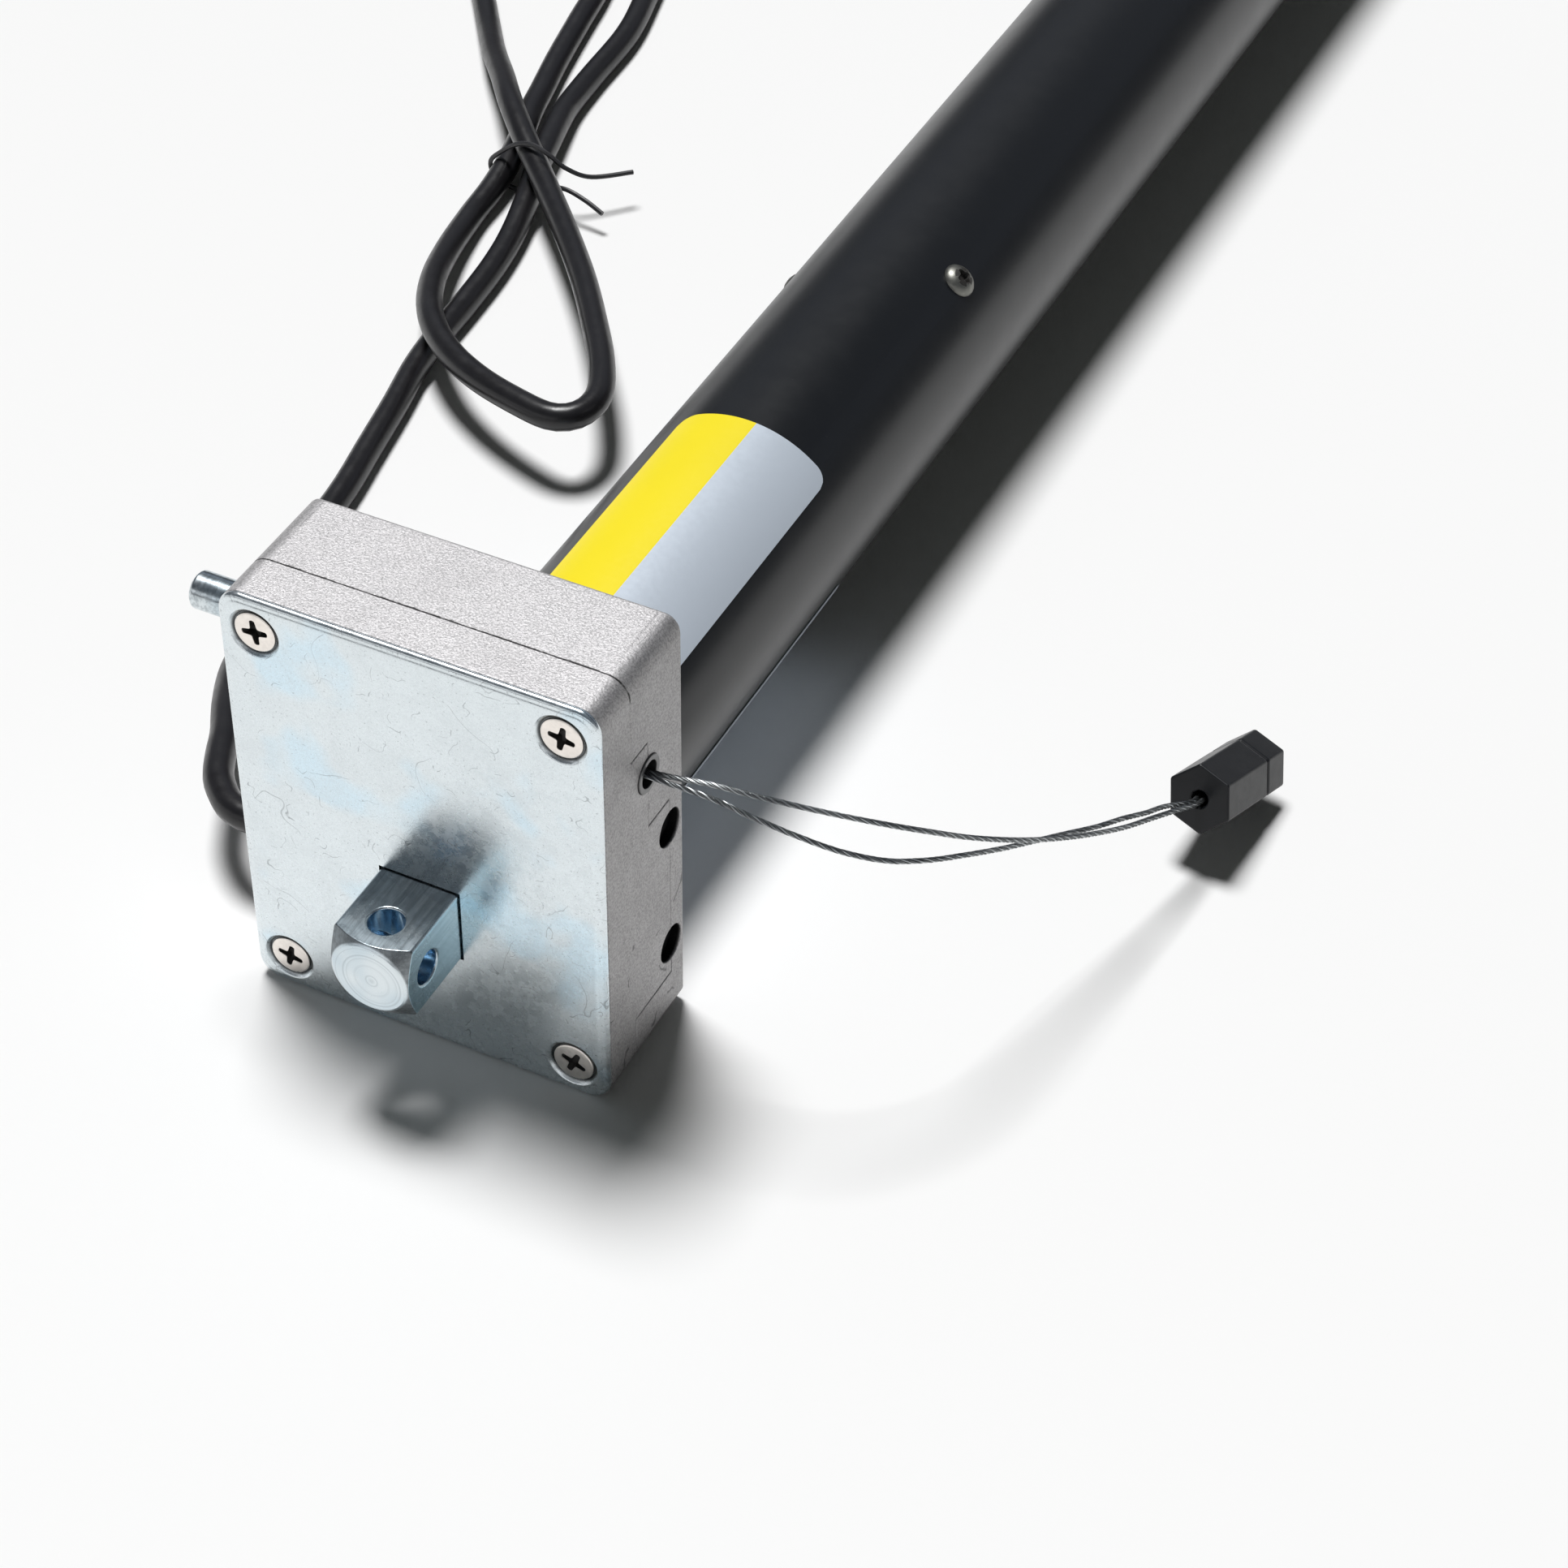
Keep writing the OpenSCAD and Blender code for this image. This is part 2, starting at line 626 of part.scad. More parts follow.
module mounting_stub() {
    y0 = -stub_hole_back;
    half = stub_side / 2;
    corner = half * sqrt(2) + 0.1;
    turn = (corner - stub_end_d / 2) * 0.68;
    color("lightsteelblue") difference() {
        union() {
            intersection() {
                box([-half, y0, -half], [half, cast_y + flange_t, half]);
                union() {
                    translate([0, y0, 0]) rotate([-90, 0, 0])
                        cylinder(r1 = stub_end_d / 2, r2 = corner, h = turn);
                    ycyl(corner, y0 + turn, cast_y + flange_t + 1);
                }
            }
            box([-stub_flange / 2, cast_y, -stub_flange / 2],
                [stub_flange / 2, cast_y + flange_t, stub_flange / 2]);
        }
        cylinder(r = stub_hole_d / 2, h = 2 * stub_side, center = true);
        xcyl(stub_hole_d / 2, -stub_side, stub_side, 0, 0);
    }
}

// Crank drive

module crank_bushes() {
    color("peru") {
        difference() {
            xcyl(bush_r, 0.4 - side_x, bush_in - 0.3, crank_y, crank_z);
            xcyl(journal_r + run_gap, -side_x - 1, bush_in + 1, crank_y, crank_z);
        }
        difference() {
            xcyl(bush_r, pedestal_x0, pedestal_x1, crank_y, crank_z);
            xcyl(journal_r + run_gap, pedestal_x0 - 1, pedestal_x1 + 1, crank_y, crank_z);
        }
    }
}

module crank_shaft() {
    tip = -side_x - crank_out;
    chamfer = 0.6;
    color("silver") {
        translate([tip, crank_y, crank_z]) rotate([0, 90, 0])
            cylinder(r1 = crank_d / 2 - chamfer, r2 = crank_d / 2, h = chamfer);
        xcyl(crank_d / 2, tip + chamfer, -side_x, crank_y, crank_z);
        xcyl(journal_r, -side_x, crank_end, crank_y, crank_z);
    }
}

// The thread is a right-hand helix with a trapezoid section
module crank_worm() {
    turns = 2 * worm_half_len / worm_lead - 0.6;
    steps = ceil(turns * 18);
    crest_half = 0.25;
    root_half = crest_half + (worm_crest - worm_root) * tan(20) + 0.05;
    deep = worm_root - 0.4;
    section = [[deep, -root_half], [worm_crest, -crest_half], [worm_crest, crest_half], [deep, root_half]];
    points = [for (i = [0 : steps])
        let (turn = (i / steps - 0.5) * turns * 360, x = turn / 360 * worm_lead)
        for (s = section) [x + s[1], s[0] * cos(turn), s[0] * sin(turn)]];
    skin = [for (i = [0 : steps - 1], k = [0 : 3]) let (a = i * 4, b = a + 4, n = (k + 1) % 4)
        each [[a + k, a + n, b + n], [a + k, b + n, b + k]]];
    ends = [[3, 2, 1, 0], [steps * 4, steps * 4 + 1, steps * 4 + 2, steps * 4 + 3]];
    color("darkkhaki") difference() {
        union() {
            xcyl(worm_root, -worm_half_len, worm_half_len, crank_y, crank_z);
            translate([0, crank_y, crank_z]) rotate([worm_phase, 0, 0])
                polyhedron(points = points, faces = concat(skin, ends));
        }
        xcyl(journal_r + seat_gap, -worm_half_len - 1, worm_half_len + 1, crank_y, crank_z);
    }
}

module worm_wheel() {
    color("goldenrod") difference() {
        union() {
            translate([0, 0, layshaft_z]) along_y(crank_y - wheel_half, crank_y + wheel_half)
                polygon(gear_points(wheel_teeth, wheel_m, wheel_pr - 1.25, wheel_pr + 0.8,
                    worm_lead / 2 - 0.55, 20));
            ycyl(layshaft_d / 2 + 2.5, main_y1 + 0.1, lay_boss_y - 0.3, 0, layshaft_z);
        }
        ycyl(layshaft_d / 2 + seat_gap, main_y0, back_y, 0, layshaft_z);
    }
}

module layshaft() {
    color("silver") ycyl(layshaft_d / 2, cast_y + 0.2, lay_end, 0, layshaft_z);
}

module layshaft_pinion() {
    color("goldenrod") difference() {
        translate([0, 0, layshaft_z]) along_y(main_y0 - 0.3, main_y1)
            polygon(gear_points(pinion_teeth, spur_m, pinion_pr - spur_ded, pinion_pr + spur_add,
                PI * spur_m / 2 - spur_backlash));
        ycyl(layshaft_d / 2 + seat_gap, main_y0 - 2, main_y1 + 1, 0, layshaft_z);
    }
}

module layshaft_bushes() {
    color("peru") {
        yring(lay_bush_r, layshaft_d / 2 + run_gap, cast_y + 0.1, web_y + 0.2, 0, layshaft_z);
        yring(lay_bush_r, layshaft_d / 2 + run_gap, lay_boss_y, lay_end, 0, layshaft_z);
    }
}

module main_gear() {
    color("goldenrod") difference() {
        along_y(main_y0, main_y1)
            polygon(gear_points(main_teeth, spur_m, main_pr - spur_ded, main_pr + spur_add,
                PI * spur_m / 2 - spur_backlash));
        intersection() {
            ycyl(gear_seat_r + seat_gap, main_y0 - 1, main_y1 + 1);
            box([-gear_flat - seat_gap, main_y0 - 1, -20], [gear_flat + seat_gap, main_y1 + 1, 20]);
        }
    }
}

module toothed_sleeve() {
    color("dimgray") difference() {
        union() {
            intersection() {
                ycyl(gear_seat_r, hub_y0, main_y1 + 1);
                box([-gear_flat, hub_y0, -20], [gear_flat, main_y1 + 1, 20]);
            }
            ycyl(hub_r, main_y1 + 0.1, tube_y0);
            ycyl(tube_r - 0.2, sleeve_flange_y, tube_y0 - 0.1);
            ycyl(fit_r, tube_y0 - 0.2, tube_y0 + plug_len);
        }
        ycyl(sleeve_bore_r, hub_y0 - 1, tube_y0 + plug_len + 1);
    }
}

module sleeve_bearing() {
    color("ivory") yring(bearing_r, hub_r + run_gap, bearing_y0, back_y - 0.1);
}

// Limit unit

module limit_adjuster(z) {
    color("crimson") difference() {
        union() {
            xcyl(adjuster_r, adjuster_head_x, adjuster_face, adjuster_y, z);
            xcyl(spindle_r, frame_x0 + 0.2, adjuster_head_x + 1, adjuster_y, z);
        }
        translate([adjuster_face - 4, adjuster_y, z]) rotate([0, 90, 0])
            cylinder(r = 2.3, h = 5, $fn = 6);
    }
}

module limit_adjuster_up() {
    limit_adjuster(adjuster_up_z);
}

module limit_adjuster_down() {
    limit_adjuster(-adjuster_down_z);
}

module limit_nut(z) {
    color("white") difference() {
        box([nut_x0, rail_y1 + face_gap, z - nut_half],
            [nut_x0 + nut_len, adjuster_y + 2.4, z + nut_half]);
        xcyl(spindle_r + run_gap, nut_x0 - 1, nut_x0 + nut_len + 1, adjuster_y, z);
    }
}

module limit_nut_up() {
    limit_nut(adjuster_up_z);
}

module limit_nut_down() {
    limit_nut(-adjuster_down_z);
}

module limit_frame() {
    z0 = -adjuster_down_z - nut_half;
    z1 = adjuster_up_z + nut_half;
    color("darkslategray") difference() {
        union() {
            box([frame_x0, rail_y0, z0], [frame_x1, rail_y1, z1]);
            box([frame_x0, rail_y0, z0], [frame_x0 + frame_t, inner_back - 0.1, z1]);
        }
        for (z = [adjuster_up_z, -adjuster_down_z])
            xcyl(spindle_r + run_gap, frame_x0 - 1, frame_x0 + frame_t + 1, adjuster_y, z);
        ycyl(bearing_r + 3, rail_y0 - 1, back_y);
    }
}

module limit_switches() {
    color("black") for (side = [1, -1]) {
        edge = side > 0 ? adjuster_up_z - nut_half : -adjuster_down_z + nut_half;
        near = edge - side * 0.6;
        far = edge - side * 7;
        box([frame_x0 + 6, rail_y1, min(near, far)], [frame_x1 - 1, inner_back - 0.1, max(near, far)]);
    }
}

// Release

module wire_bush() {
    color("slategray") difference() {
        xcyl(wire_hole_d / 2 - seat_gap, bush_x0, bush_x1, wire_y, wire_z);
        xcyl(bush_bore_r, bush_x0 - 1, bush_x1 + 1, wire_y, wire_z);
    }
}

module release_lever() {
    half = lever_t / 2;
    arm_half = 3.5;
    color("darkgray") difference() {
        union() {
            ycyl(lever_hub_r, lever_hub_y0, lever_hub_y1, lever_x, lever_z);
            box([lever_x - half, wire_y - arm_half, lever_z], [lever_x + half, lever_hub_y1, lever_top]);
            box([lever_x - half, wire_y - arm_half, lever_z + lever_hub_r + 1],
                [lever_x + half, wire_y + arm_half, lever_top]);
            difference() {
                along_y(lever_hub_y0, lever_hub_y0 + shoe_w)
                    translate([shoe_x0, lever_z - 1.9]) square([lever_x - shoe_x0, 6.2]);
                ycyl(main_pr + spur_add + shoe_gap, 0, back_y);
            }
        }
        ycyl(lever_pin_r + run_gap, 0, back_y, lever_x, lever_z);
        box([lever_x - half - 1, wire_y - slot_half, wire_z - 1.6],
            [lever_x + half + 1, wire_y + slot_half, lever_top + 1]);
    }
}

module lever_pin() {
    color("silver") ycyl(lever_pin_r, cast_y + 0.3, rail_y0 - 0.1, lever_x, lever_z);
}

// Torsion spring on the lever's hub: a helix with one leg up the lever's arm
module release_spring() {
    spring_wire = 0.4;
    coil_r = lever_hub_r + spring_wire + 0.1;
    turns = 3;
    steps = 40;
    y0 = lever_hub_y0 + shoe_w + 0.7;
    pitch = 1;
    coil = [for (i = [0 : steps]) let (a = 90 + i / steps * turns * 360)
        [lever_x + coil_r * cos(a), y0 + pitch * turns * i / steps, lever_z + coil_r * sin(a)]];
    color("silver") swept(coil, spring_wire, 6, [0, 1, 0.1]);
}

module wire_ferrule() {
    color("silver") difference() {
        xcyl(ferrule_r, ferrule_x0, ferrule_x1, wire_y, wire_z);
        for (side = [-1, 1])
            xcyl(wire_d / 2 + seat_gap, ferrule_x1 - 3, ferrule_x1 + 1,
                wire_y + side * strand_gap / 2, wire_z);
    }
}

// Turns and moves from the pull handle's own frame, where Y runs into it from the near face
module at_pull() {
    translate(pull_face) rotate([0, 0, -pull_turn]) rotate([-pull_tilt, 0, 0]) children();
}

function pull_point(p) =
    let (y1 = p[1] * cos(pull_tilt) + p[2] * sin(pull_tilt),
        z1 = p[2] * cos(pull_tilt) - p[1] * sin(pull_tilt))
    pull_face + [p[0] * cos(pull_turn) + y1 * sin(pull_turn),
        y1 * cos(pull_turn) - p[0] * sin(pull_turn), z1];

module release_wire() {
    half = strand_gap / 2;
    side = [0, half, 0];
    deep = pull_hole_len - 1.5;
    inside = [for (a = [0 : 45 : 180]) pull_point([half * cos(a), deep - 1 + half * sin(a), 0])];
    route = concat([[ferrule_x1 - 2.8, wire_y, wire_z] + side, [ferrule_x1 + 2, wire_y, wire_z] + side],
        [for (p = wire_out) p + side],
        [pull_point([half, -3, 0]), pull_point([half, 1, 0])], inside,
        [pull_point([-half, 1, 0]), pull_point([-half, -3, 0])],
        [for (p = wire_back) p - side],
        [[ferrule_x1 + 2, wire_y, wire_z] - side, [ferrule_x1 - 2.8, wire_y, wire_z] - side]);
    color("silver") swept(fine_curve(route, 2), wire_d / 2, wire_sides);
}

module pull_handle() {
    color("black") at_pull() rotate([0, pull_roll, 0]) difference() {
        rotate([-90, 0, 0]) cylinder(r = pull_r, h = pull_len, $fn = 6);
        ycyl(pull_hole_r, -1, pull_hole_len);
        difference() {
            ycyl(pull_r + 1, groove_at - groove_w / 2, groove_at + groove_w / 2);
            ycyl(groove_r, groove_at - groove_w, groove_at + groove_w);
        }
    }
}

// Power cord

module cord_relief() {
    color("black") {
        translate([relief_tip, relief_y, relief_z]) rotate([0, 90, 0])
            cylinder(r1 = cord_r + 0.4, r2 = cord_r + 1.6, h = relief_len - 1);
        xcyl(cord_r + 2.4, -side_x - 1, -side_x, relief_y, relief_z);
        xcyl(relief_neck_r, -side_x, wall - side_x + 2, relief_y, relief_z);
    }
}

cord_line = concat([[relief_tip, relief_y, relief_z]], even_points(fine_curve(cord_route), cord_rings));

module power_cord() {
    color("black") swept(cord_line, cord_r, cord_sides);
}

module cord_cores() {
    tip = cord_line[cord_rings];
    way = heading(cord_line, cord_rings);
    across = unit(cross(way, [0, 0, 1]));
    for (k = [-1 : 1])
        color(["blue", "green", "brown"][k + 1])
            swept([tip + across * k * 1.9 + way * 0.1, tip + across * k * 2.2 + way * core_end * 0.5,
                tip + across * k * 3 + way * core_end], core_r, 8);
}

module twist_tie() {
    color("black") swept(even_points(fine_curve(tie_route), tie_rings), tie_r, tie_sides);
}

// Tube and motor

module motor_tube() {
    color("black") difference() {
        yring(tube_r, tube_in_r, tube_y0, tube_y1);
        at_tube_screws() cylinder(r = tube_thread_r + 0.1, h = tube_r + 1);
    }
}

// Turns children from Z to each tube screw, the first one leaning to the right of the top
module at_tube_screws() {
    for (k = [0 : 2])
        translate([0, tube_screw_y, 0]) rotate([0, 39.2 + k * 120, 0]) children();
}

module tube_screws() {
    crown = tube_r + 2.1;
    dome_r = 6;
    color("silver") at_tube_screws() difference() {
        union() {
            difference() {
                intersection() {
                    translate([0, 0, tube_r - 1]) cylinder(r = tube_head_d / 2, h = 4);
                    translate([0, 0, crown - dome_r]) sphere(r = dome_r);
                }
                rotate([90, 0, 0]) cylinder(r = tube_r + 0.01, h = 20, center = true);
            }
            translate([0, 0, tube_r - 8]) cylinder(r = tube_thread_r, h = 9);
        }
        translate([0, 0, crown]) rotate([-90, 0, 0]) cross_recess(0, 4, 1.4);
    }
}

// A label bent round the tube, between two angles from the top toward the right
module bent_label(a0, a1, y1, corner) {
    difference() {
        translate([0, label_y0, 0]) rotate([-90, 0, 0]) rotate([0, 0, a0 - 90])
            rotate_extrude(angle = a1 - a0) translate([label_r, 0]) square([label_t, y1 - label_y0]);
        for (side = [0, 1]) let (a = side == 0 ? a0 : a1, s = side == 0 ? 1 : -1)
            rotate([0, a, 0]) difference() {
                translate([s > 0 ? -1 : -corner, y1 - corner, tube_r - 3]) cube([corner + 1, corner + 1, 5]);
                translate([s * corner, y1 - corner, tube_r - 4])
                    cylinder(r = corner + corner_ease, h = 7);
            }
    }
}

module top_label() {
    color("gold") bent_label(-34, 50, label_end, 3.5);
}

module underside_label() {
    color("whitesmoke") bent_label(100, 260, label_end - 2, 2);
}

module capacitor() {
    low = cap_d / 2 - tube_in_r + cap_gap;
    color("white") {
        ycyl(cap_d / 2, cap_y0, cap_y0 + cap_len, 0, low);
        ycyl(cap_d / 2 - 3, cap_y0 - 3, cap_y0, 0, low);
    }
}

module end_shield(y0, y1, bearing_at) {
    difference() {
        ycyl(fit_r, y0, y1);
        ycyl(fit_r - 4, y0 - 1, bearing_at - shield_wall);
        ycyl(fit_r - 2, bearing_at + bearing_w, y1 + 1);
        ycyl(rotor_bearing_r + seat_gap, bearing_at, y1 + 1);
        ycyl(rotor_shaft_d / 2 + 1.5, y0 - 1, y1 + 1);
    }
}

front_bearing_y = shield_y1 - bearing_w - 3;
rear_bearing_y = rear_y0 + 3.5;

module front_end_shield() {
    color("silver") difference() {
        end_shield(shield_y0, shield_y1, front_bearing_y);
        at_tube_screws() translate([0, 0, tube_in_r - 8]) cylinder(r = tube_thread_r + thread_gap, h = 10);
    }
}

module rear_end_shield() {
    color("silver") end_shield(rear_y0, rear_y1, rear_bearing_y);
}

module ball_bearing(r_out, r_in, y0, w) {
    mid = (r_out + r_in) / 2;
    yring(r_out, mid + 1.6, y0, y0 + w);
    yring(mid - 1.6, r_in, y0, y0 + w);
    yring(mid + 1.6, mid - 1.6, y0 + 0.8, y0 + w - 0.8);
}

module rotor_bearings() {
    color("steelblue") for (y = [front_bearing_y, rear_bearing_y])
        ball_bearing(rotor_bearing_r, rotor_shaft_d / 2 + run_gap, y, bearing_w);
}

module slots(r) {
    for (k = [0 : slot_count - 1])
        rotate([0, k * 360 / slot_count, 0]) translate([0, 0, slot_ring_r]) children();
}

module stator_core() {
    color("dimgray") difference() {
        yring(fit_r, stator_bore / 2, core_y0, core_y1);
        slots() ycyl(slot_r + seat_gap, core_y0 - 1, core_y1 + 1);
    }
}

module stator_windings() {
    color("chocolate") {
        slots() ycyl(slot_r, core_y0 - 0.1, core_y1 + 0.1);
        for (y = [core_y0 - coil_end, core_y1 + 0.05])
            yring(fit_r - 2, stator_bore / 2 + 1, y, y + coil_end - 0.05);
    }
}

module rotor_core() {
    color("gray") yring(rotor_r, rotor_shaft_d / 2 + seat_gap, core_y0 - 1, core_y1 + 1);
}

module sun_teeth_shape() {
    polygon(gear_points(sun_teeth, planet_m, sun_pr - 0.92, sun_pr + 0.62,
        PI * planet_m / 2 - gear_thin));
}

// The first sun gear is cut on the end of the shaft
module rotor_shaft() {
    color("silver") {
        ycyl(rotor_shaft_d / 2, front_bearing_y - 3, disc_y1 + 0.2);
        ycyl(sun_pr - 0.95, disc_y1, stage1_y0);
        along_y(stage1_y0 - 0.8, stage1_y0 + stage1_w + 0.2) sun_teeth_shape();
    }
}

module brake_coil() {
    color("darkred") difference() {
        ycyl(fit_r, coil_y0, coil_y1);
        ycyl(rotor_shaft_d / 2 + 1, coil_y0 - 1, coil_y1 + 1);
        difference() {
            ycyl(rotor_shaft_d / 2 + 5, coil_y1 - 8, coil_y1 + 1);
            ycyl(rotor_shaft_d / 2 + 2.5, coil_y1 - 9, coil_y1 + 2);
        }
    }
}

module brake_armature() {
    color("slategray") yring(fit_r - 0.1, rotor_shaft_d / 2 + 1, armature_y0, armature_y1);
}

module brake_disc() {
    color("saddlebrown") yring(fit_r - 4, rotor_shaft_d / 2 + seat_gap, disc_y0, disc_y1);
}

module gearbox_ring() {
    color("darkgray") difference() {
        ycyl(fit_r, box_y0, box_y1);
        ycyl(sun_pr + 1.6, box_y0 - 1, box_y1 + 1);
        along_y(box_y0 + box_wall, box_y1 + 1)
            polygon(gear_points(ring_teeth, planet_m, ring_pr - 0.6, ring_pr + 0.9,
                PI * planet_m / 2 + gear_thin));
    }
}

module planet(stage, k) {
    y0 = stage == 1 ? stage1_y0 : stage2_y0;
    w = stage == 1 ? stage1_w : stage2_w;
    color("goldenrod") rotate([0, -120 * k, 0]) difference() {
        translate([planet_a, 0, 0]) along_y(y0, y0 + w)
            polygon(gear_points(planet_teeth, planet_m, planet_pr - 0.87, planet_pr + 0.62,
                PI * planet_m / 2 - gear_thin));
        ycyl(planet_pin_r + run_gap, y0 - 1, y0 + w + 1, planet_a, 0);
    }
}

module planet_1a() {
    planet(1, 0);
}

module planet_1b() {
    planet(1, 1);
}

module planet_1c() {
    planet(1, 2);
}

module planet_2a() {
    planet(2, 0);
}

module planet_2b() {
    planet(2, 1);
}

module planet_2c() {
    planet(2, 2);
}

module planet_pins(y0, y1) {
    for (k = [0 : 2])
        rotate([0, -120 * k, 0]) ycyl(planet_pin_r, y0, y1, planet_a, 0);
}

// The second sun gear is cut on the first carrier
module stage_1_carrier() {
    color("silver") {
        ycyl(carrier_r, carrier1_y0, carrier1_y0 + carrier1_t);
        planet_pins(stage1_y0 + 0.2, carrier1_y0 + 1);
        along_y(carrier1_y0 + 1, stage2_y0 + stage2_w + 0.2) sun_teeth_shape();
    }
}

module output_carrier() {
    color("silver") {
        ycyl(carrier_r, carrier2_y0, carrier2_y0 + carrier2_t);
        planet_pins(stage2_y0 + 0.2, carrier2_y0 + 1);
        ycyl(output_r, carrier2_y0 + 1, drive_y0 - 1);
        difference() {
            intersection() {
                ycyl(output_r, drive_y0 - 1.5, shaft_end);
                box([-output_flat, drive_y0 - 2, -20], [output_flat, shaft_end + 1, 20]);
            }
            yring(output_r + 1, output_r - 1.2, drive_y1 + 0.1, drive_y1 + 0.1 + clip_w);
        }
    }
}

module output_bearings() {
    color("steelblue") for (y = [cap_in_y0 + 4, tube_y1 - 10])
        ball_bearing(output_bearing_r, output_r + run_gap, y, output_bearing_w);
}

module end_cap() {
    color("dimgray") difference() {
        union() {
            ycyl(fit_r, cap_in_y0, tube_y1 + 0.1);
            ycyl(tube_r, tube_y1, cap_y1);
        }
        ycyl(output_bearing_r - 2, cap_in_y0 - 1, tube_y1 + 1);
        ycyl(output_bearing_r + seat_gap, cap_in_y0 - 1, cap_in_y0 + 4 + output_bearing_w);
        ycyl(output_bearing_r + seat_gap, tube_y1 - 10, cap_y1 - 2);
        ycyl(output_r + 1, cap_in_y0, cap_y1 + 1);
    }
}

module drive_wheel() {
    color("gray") difference() {
        ycyl(drive_r, drive_y0, drive_y1);
        intersection() {
            ycyl(output_r + seat_gap, drive_y0 - 1, drive_y1 + 1);
            box([-output_flat - seat_gap, drive_y0 - 1, -20], [output_flat + seat_gap, drive_y1 + 1, 20]);
        }
        for (k = [0 : 2]) rotate([0, k * 120, 0])
            box([-key_half, drive_y0 - 1, drive_r - key_deep], [key_half, drive_y1 + 1, drive_r + 1]);
    }
}

module wheel_circlip() {
    color("black") difference() {
        yring(output_r + 2.5, output_r - 1.1, drive_y1 + 0.15, drive_y1 + 0.05 + clip_w);
        box([-2.5, drive_y1, 0], [2.5, drive_y1 + 3, output_r + 4]);
    }
}

cover_plate();
cover_screws();
front_housing();
rear_housing();
mounting_stub();
crank_bushes();
crank_shaft();
crank_worm();
worm_wheel();
layshaft();
layshaft_pinion();
layshaft_bushes();
main_gear();
toothed_sleeve();
sleeve_bearing();
limit_adjuster_up();
limit_adjuster_down();
limit_nut_up();
limit_nut_down();
limit_frame();
limit_switches();
wire_bush();
release_lever();
lever_pin();
release_spring();
wire_ferrule();
release_wire();
pull_handle();
cord_relief();
power_cord();
cord_cores();
twist_tie();
motor_tube();
tube_screws();
top_label();
underside_label();
capacitor();
front_end_shield();
rear_end_shield();
rotor_bearings();
stator_core();
stator_windings();
rotor_core();
rotor_shaft();
brake_coil();
brake_armature();
brake_disc();
gearbox_ring();
planet_1a();
planet_1b();
planet_1c();
stage_1_carrier();
planet_2a();
planet_2b();
planet_2c();
output_carrier();
output_bearings();
end_cap();
drive_wheel();
wheel_circlip();
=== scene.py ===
"""Tubular roller blind motor: finishes, cords, fine edges and a white table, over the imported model."""

import json
import math

import bmesh
import bpy
from bpy.props import FloatProperty, FloatVectorProperty, IntProperty, PointerProperty
from mathutils import Matrix, Vector


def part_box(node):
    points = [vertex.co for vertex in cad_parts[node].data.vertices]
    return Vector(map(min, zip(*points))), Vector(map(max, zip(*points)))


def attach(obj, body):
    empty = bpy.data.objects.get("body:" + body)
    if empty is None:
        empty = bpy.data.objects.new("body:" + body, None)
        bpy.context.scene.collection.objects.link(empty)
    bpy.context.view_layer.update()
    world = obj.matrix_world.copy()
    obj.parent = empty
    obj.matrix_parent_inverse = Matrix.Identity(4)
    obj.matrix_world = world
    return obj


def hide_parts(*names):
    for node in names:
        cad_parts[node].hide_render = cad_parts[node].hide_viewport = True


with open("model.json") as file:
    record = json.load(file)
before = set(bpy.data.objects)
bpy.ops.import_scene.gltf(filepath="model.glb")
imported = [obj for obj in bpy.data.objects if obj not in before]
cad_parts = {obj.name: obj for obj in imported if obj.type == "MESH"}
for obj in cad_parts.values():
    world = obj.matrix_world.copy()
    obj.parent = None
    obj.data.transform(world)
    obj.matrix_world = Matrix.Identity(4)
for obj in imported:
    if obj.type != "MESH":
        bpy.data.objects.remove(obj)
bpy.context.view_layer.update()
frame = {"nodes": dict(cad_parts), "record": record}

bl_info = {
    "name": "Roller Blind Motor",
    "version": (1, 0, 0),
    "blender": (4, 5, 0),
    "location": "3D Viewport > Sidebar > Blind Motor",
    "description": "Dresses the packed tubular motor with finishes, cords and a table",
    "category": "Object",
}

MM = 0.001
NODES = frame["nodes"]
BODY_OF = {n: body for body, names in frame["record"]["behaviour"]["bodies"].items() for n in names}

# Places that the pieces share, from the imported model, in metres
PLATE_LOW, PLATE_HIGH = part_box("cover_plate")
STUB_LOW, STUB_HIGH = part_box("mounting_stub")
CASE_LOW, CASE_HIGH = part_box("rear_housing")
TUBE_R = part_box("motor_tube")[1].x
TABLE_Z = CASE_LOW.z
HEAD_CORNER = 4.5 * MM
STUB_HALF = 8.0 * MM


def rgb(name, text, default):
    """A colour property for the finishes."""
    return FloatVectorProperty(name=name, description=text, default=default, size=3, subtype="COLOR",
                               min=0.0, max=1.0)


def length(name, text, default, low, high):
    """A length property in metres."""
    return FloatProperty(name=name, description=text, default=default, min=low, max=high,
                         unit="LENGTH", precision=5)


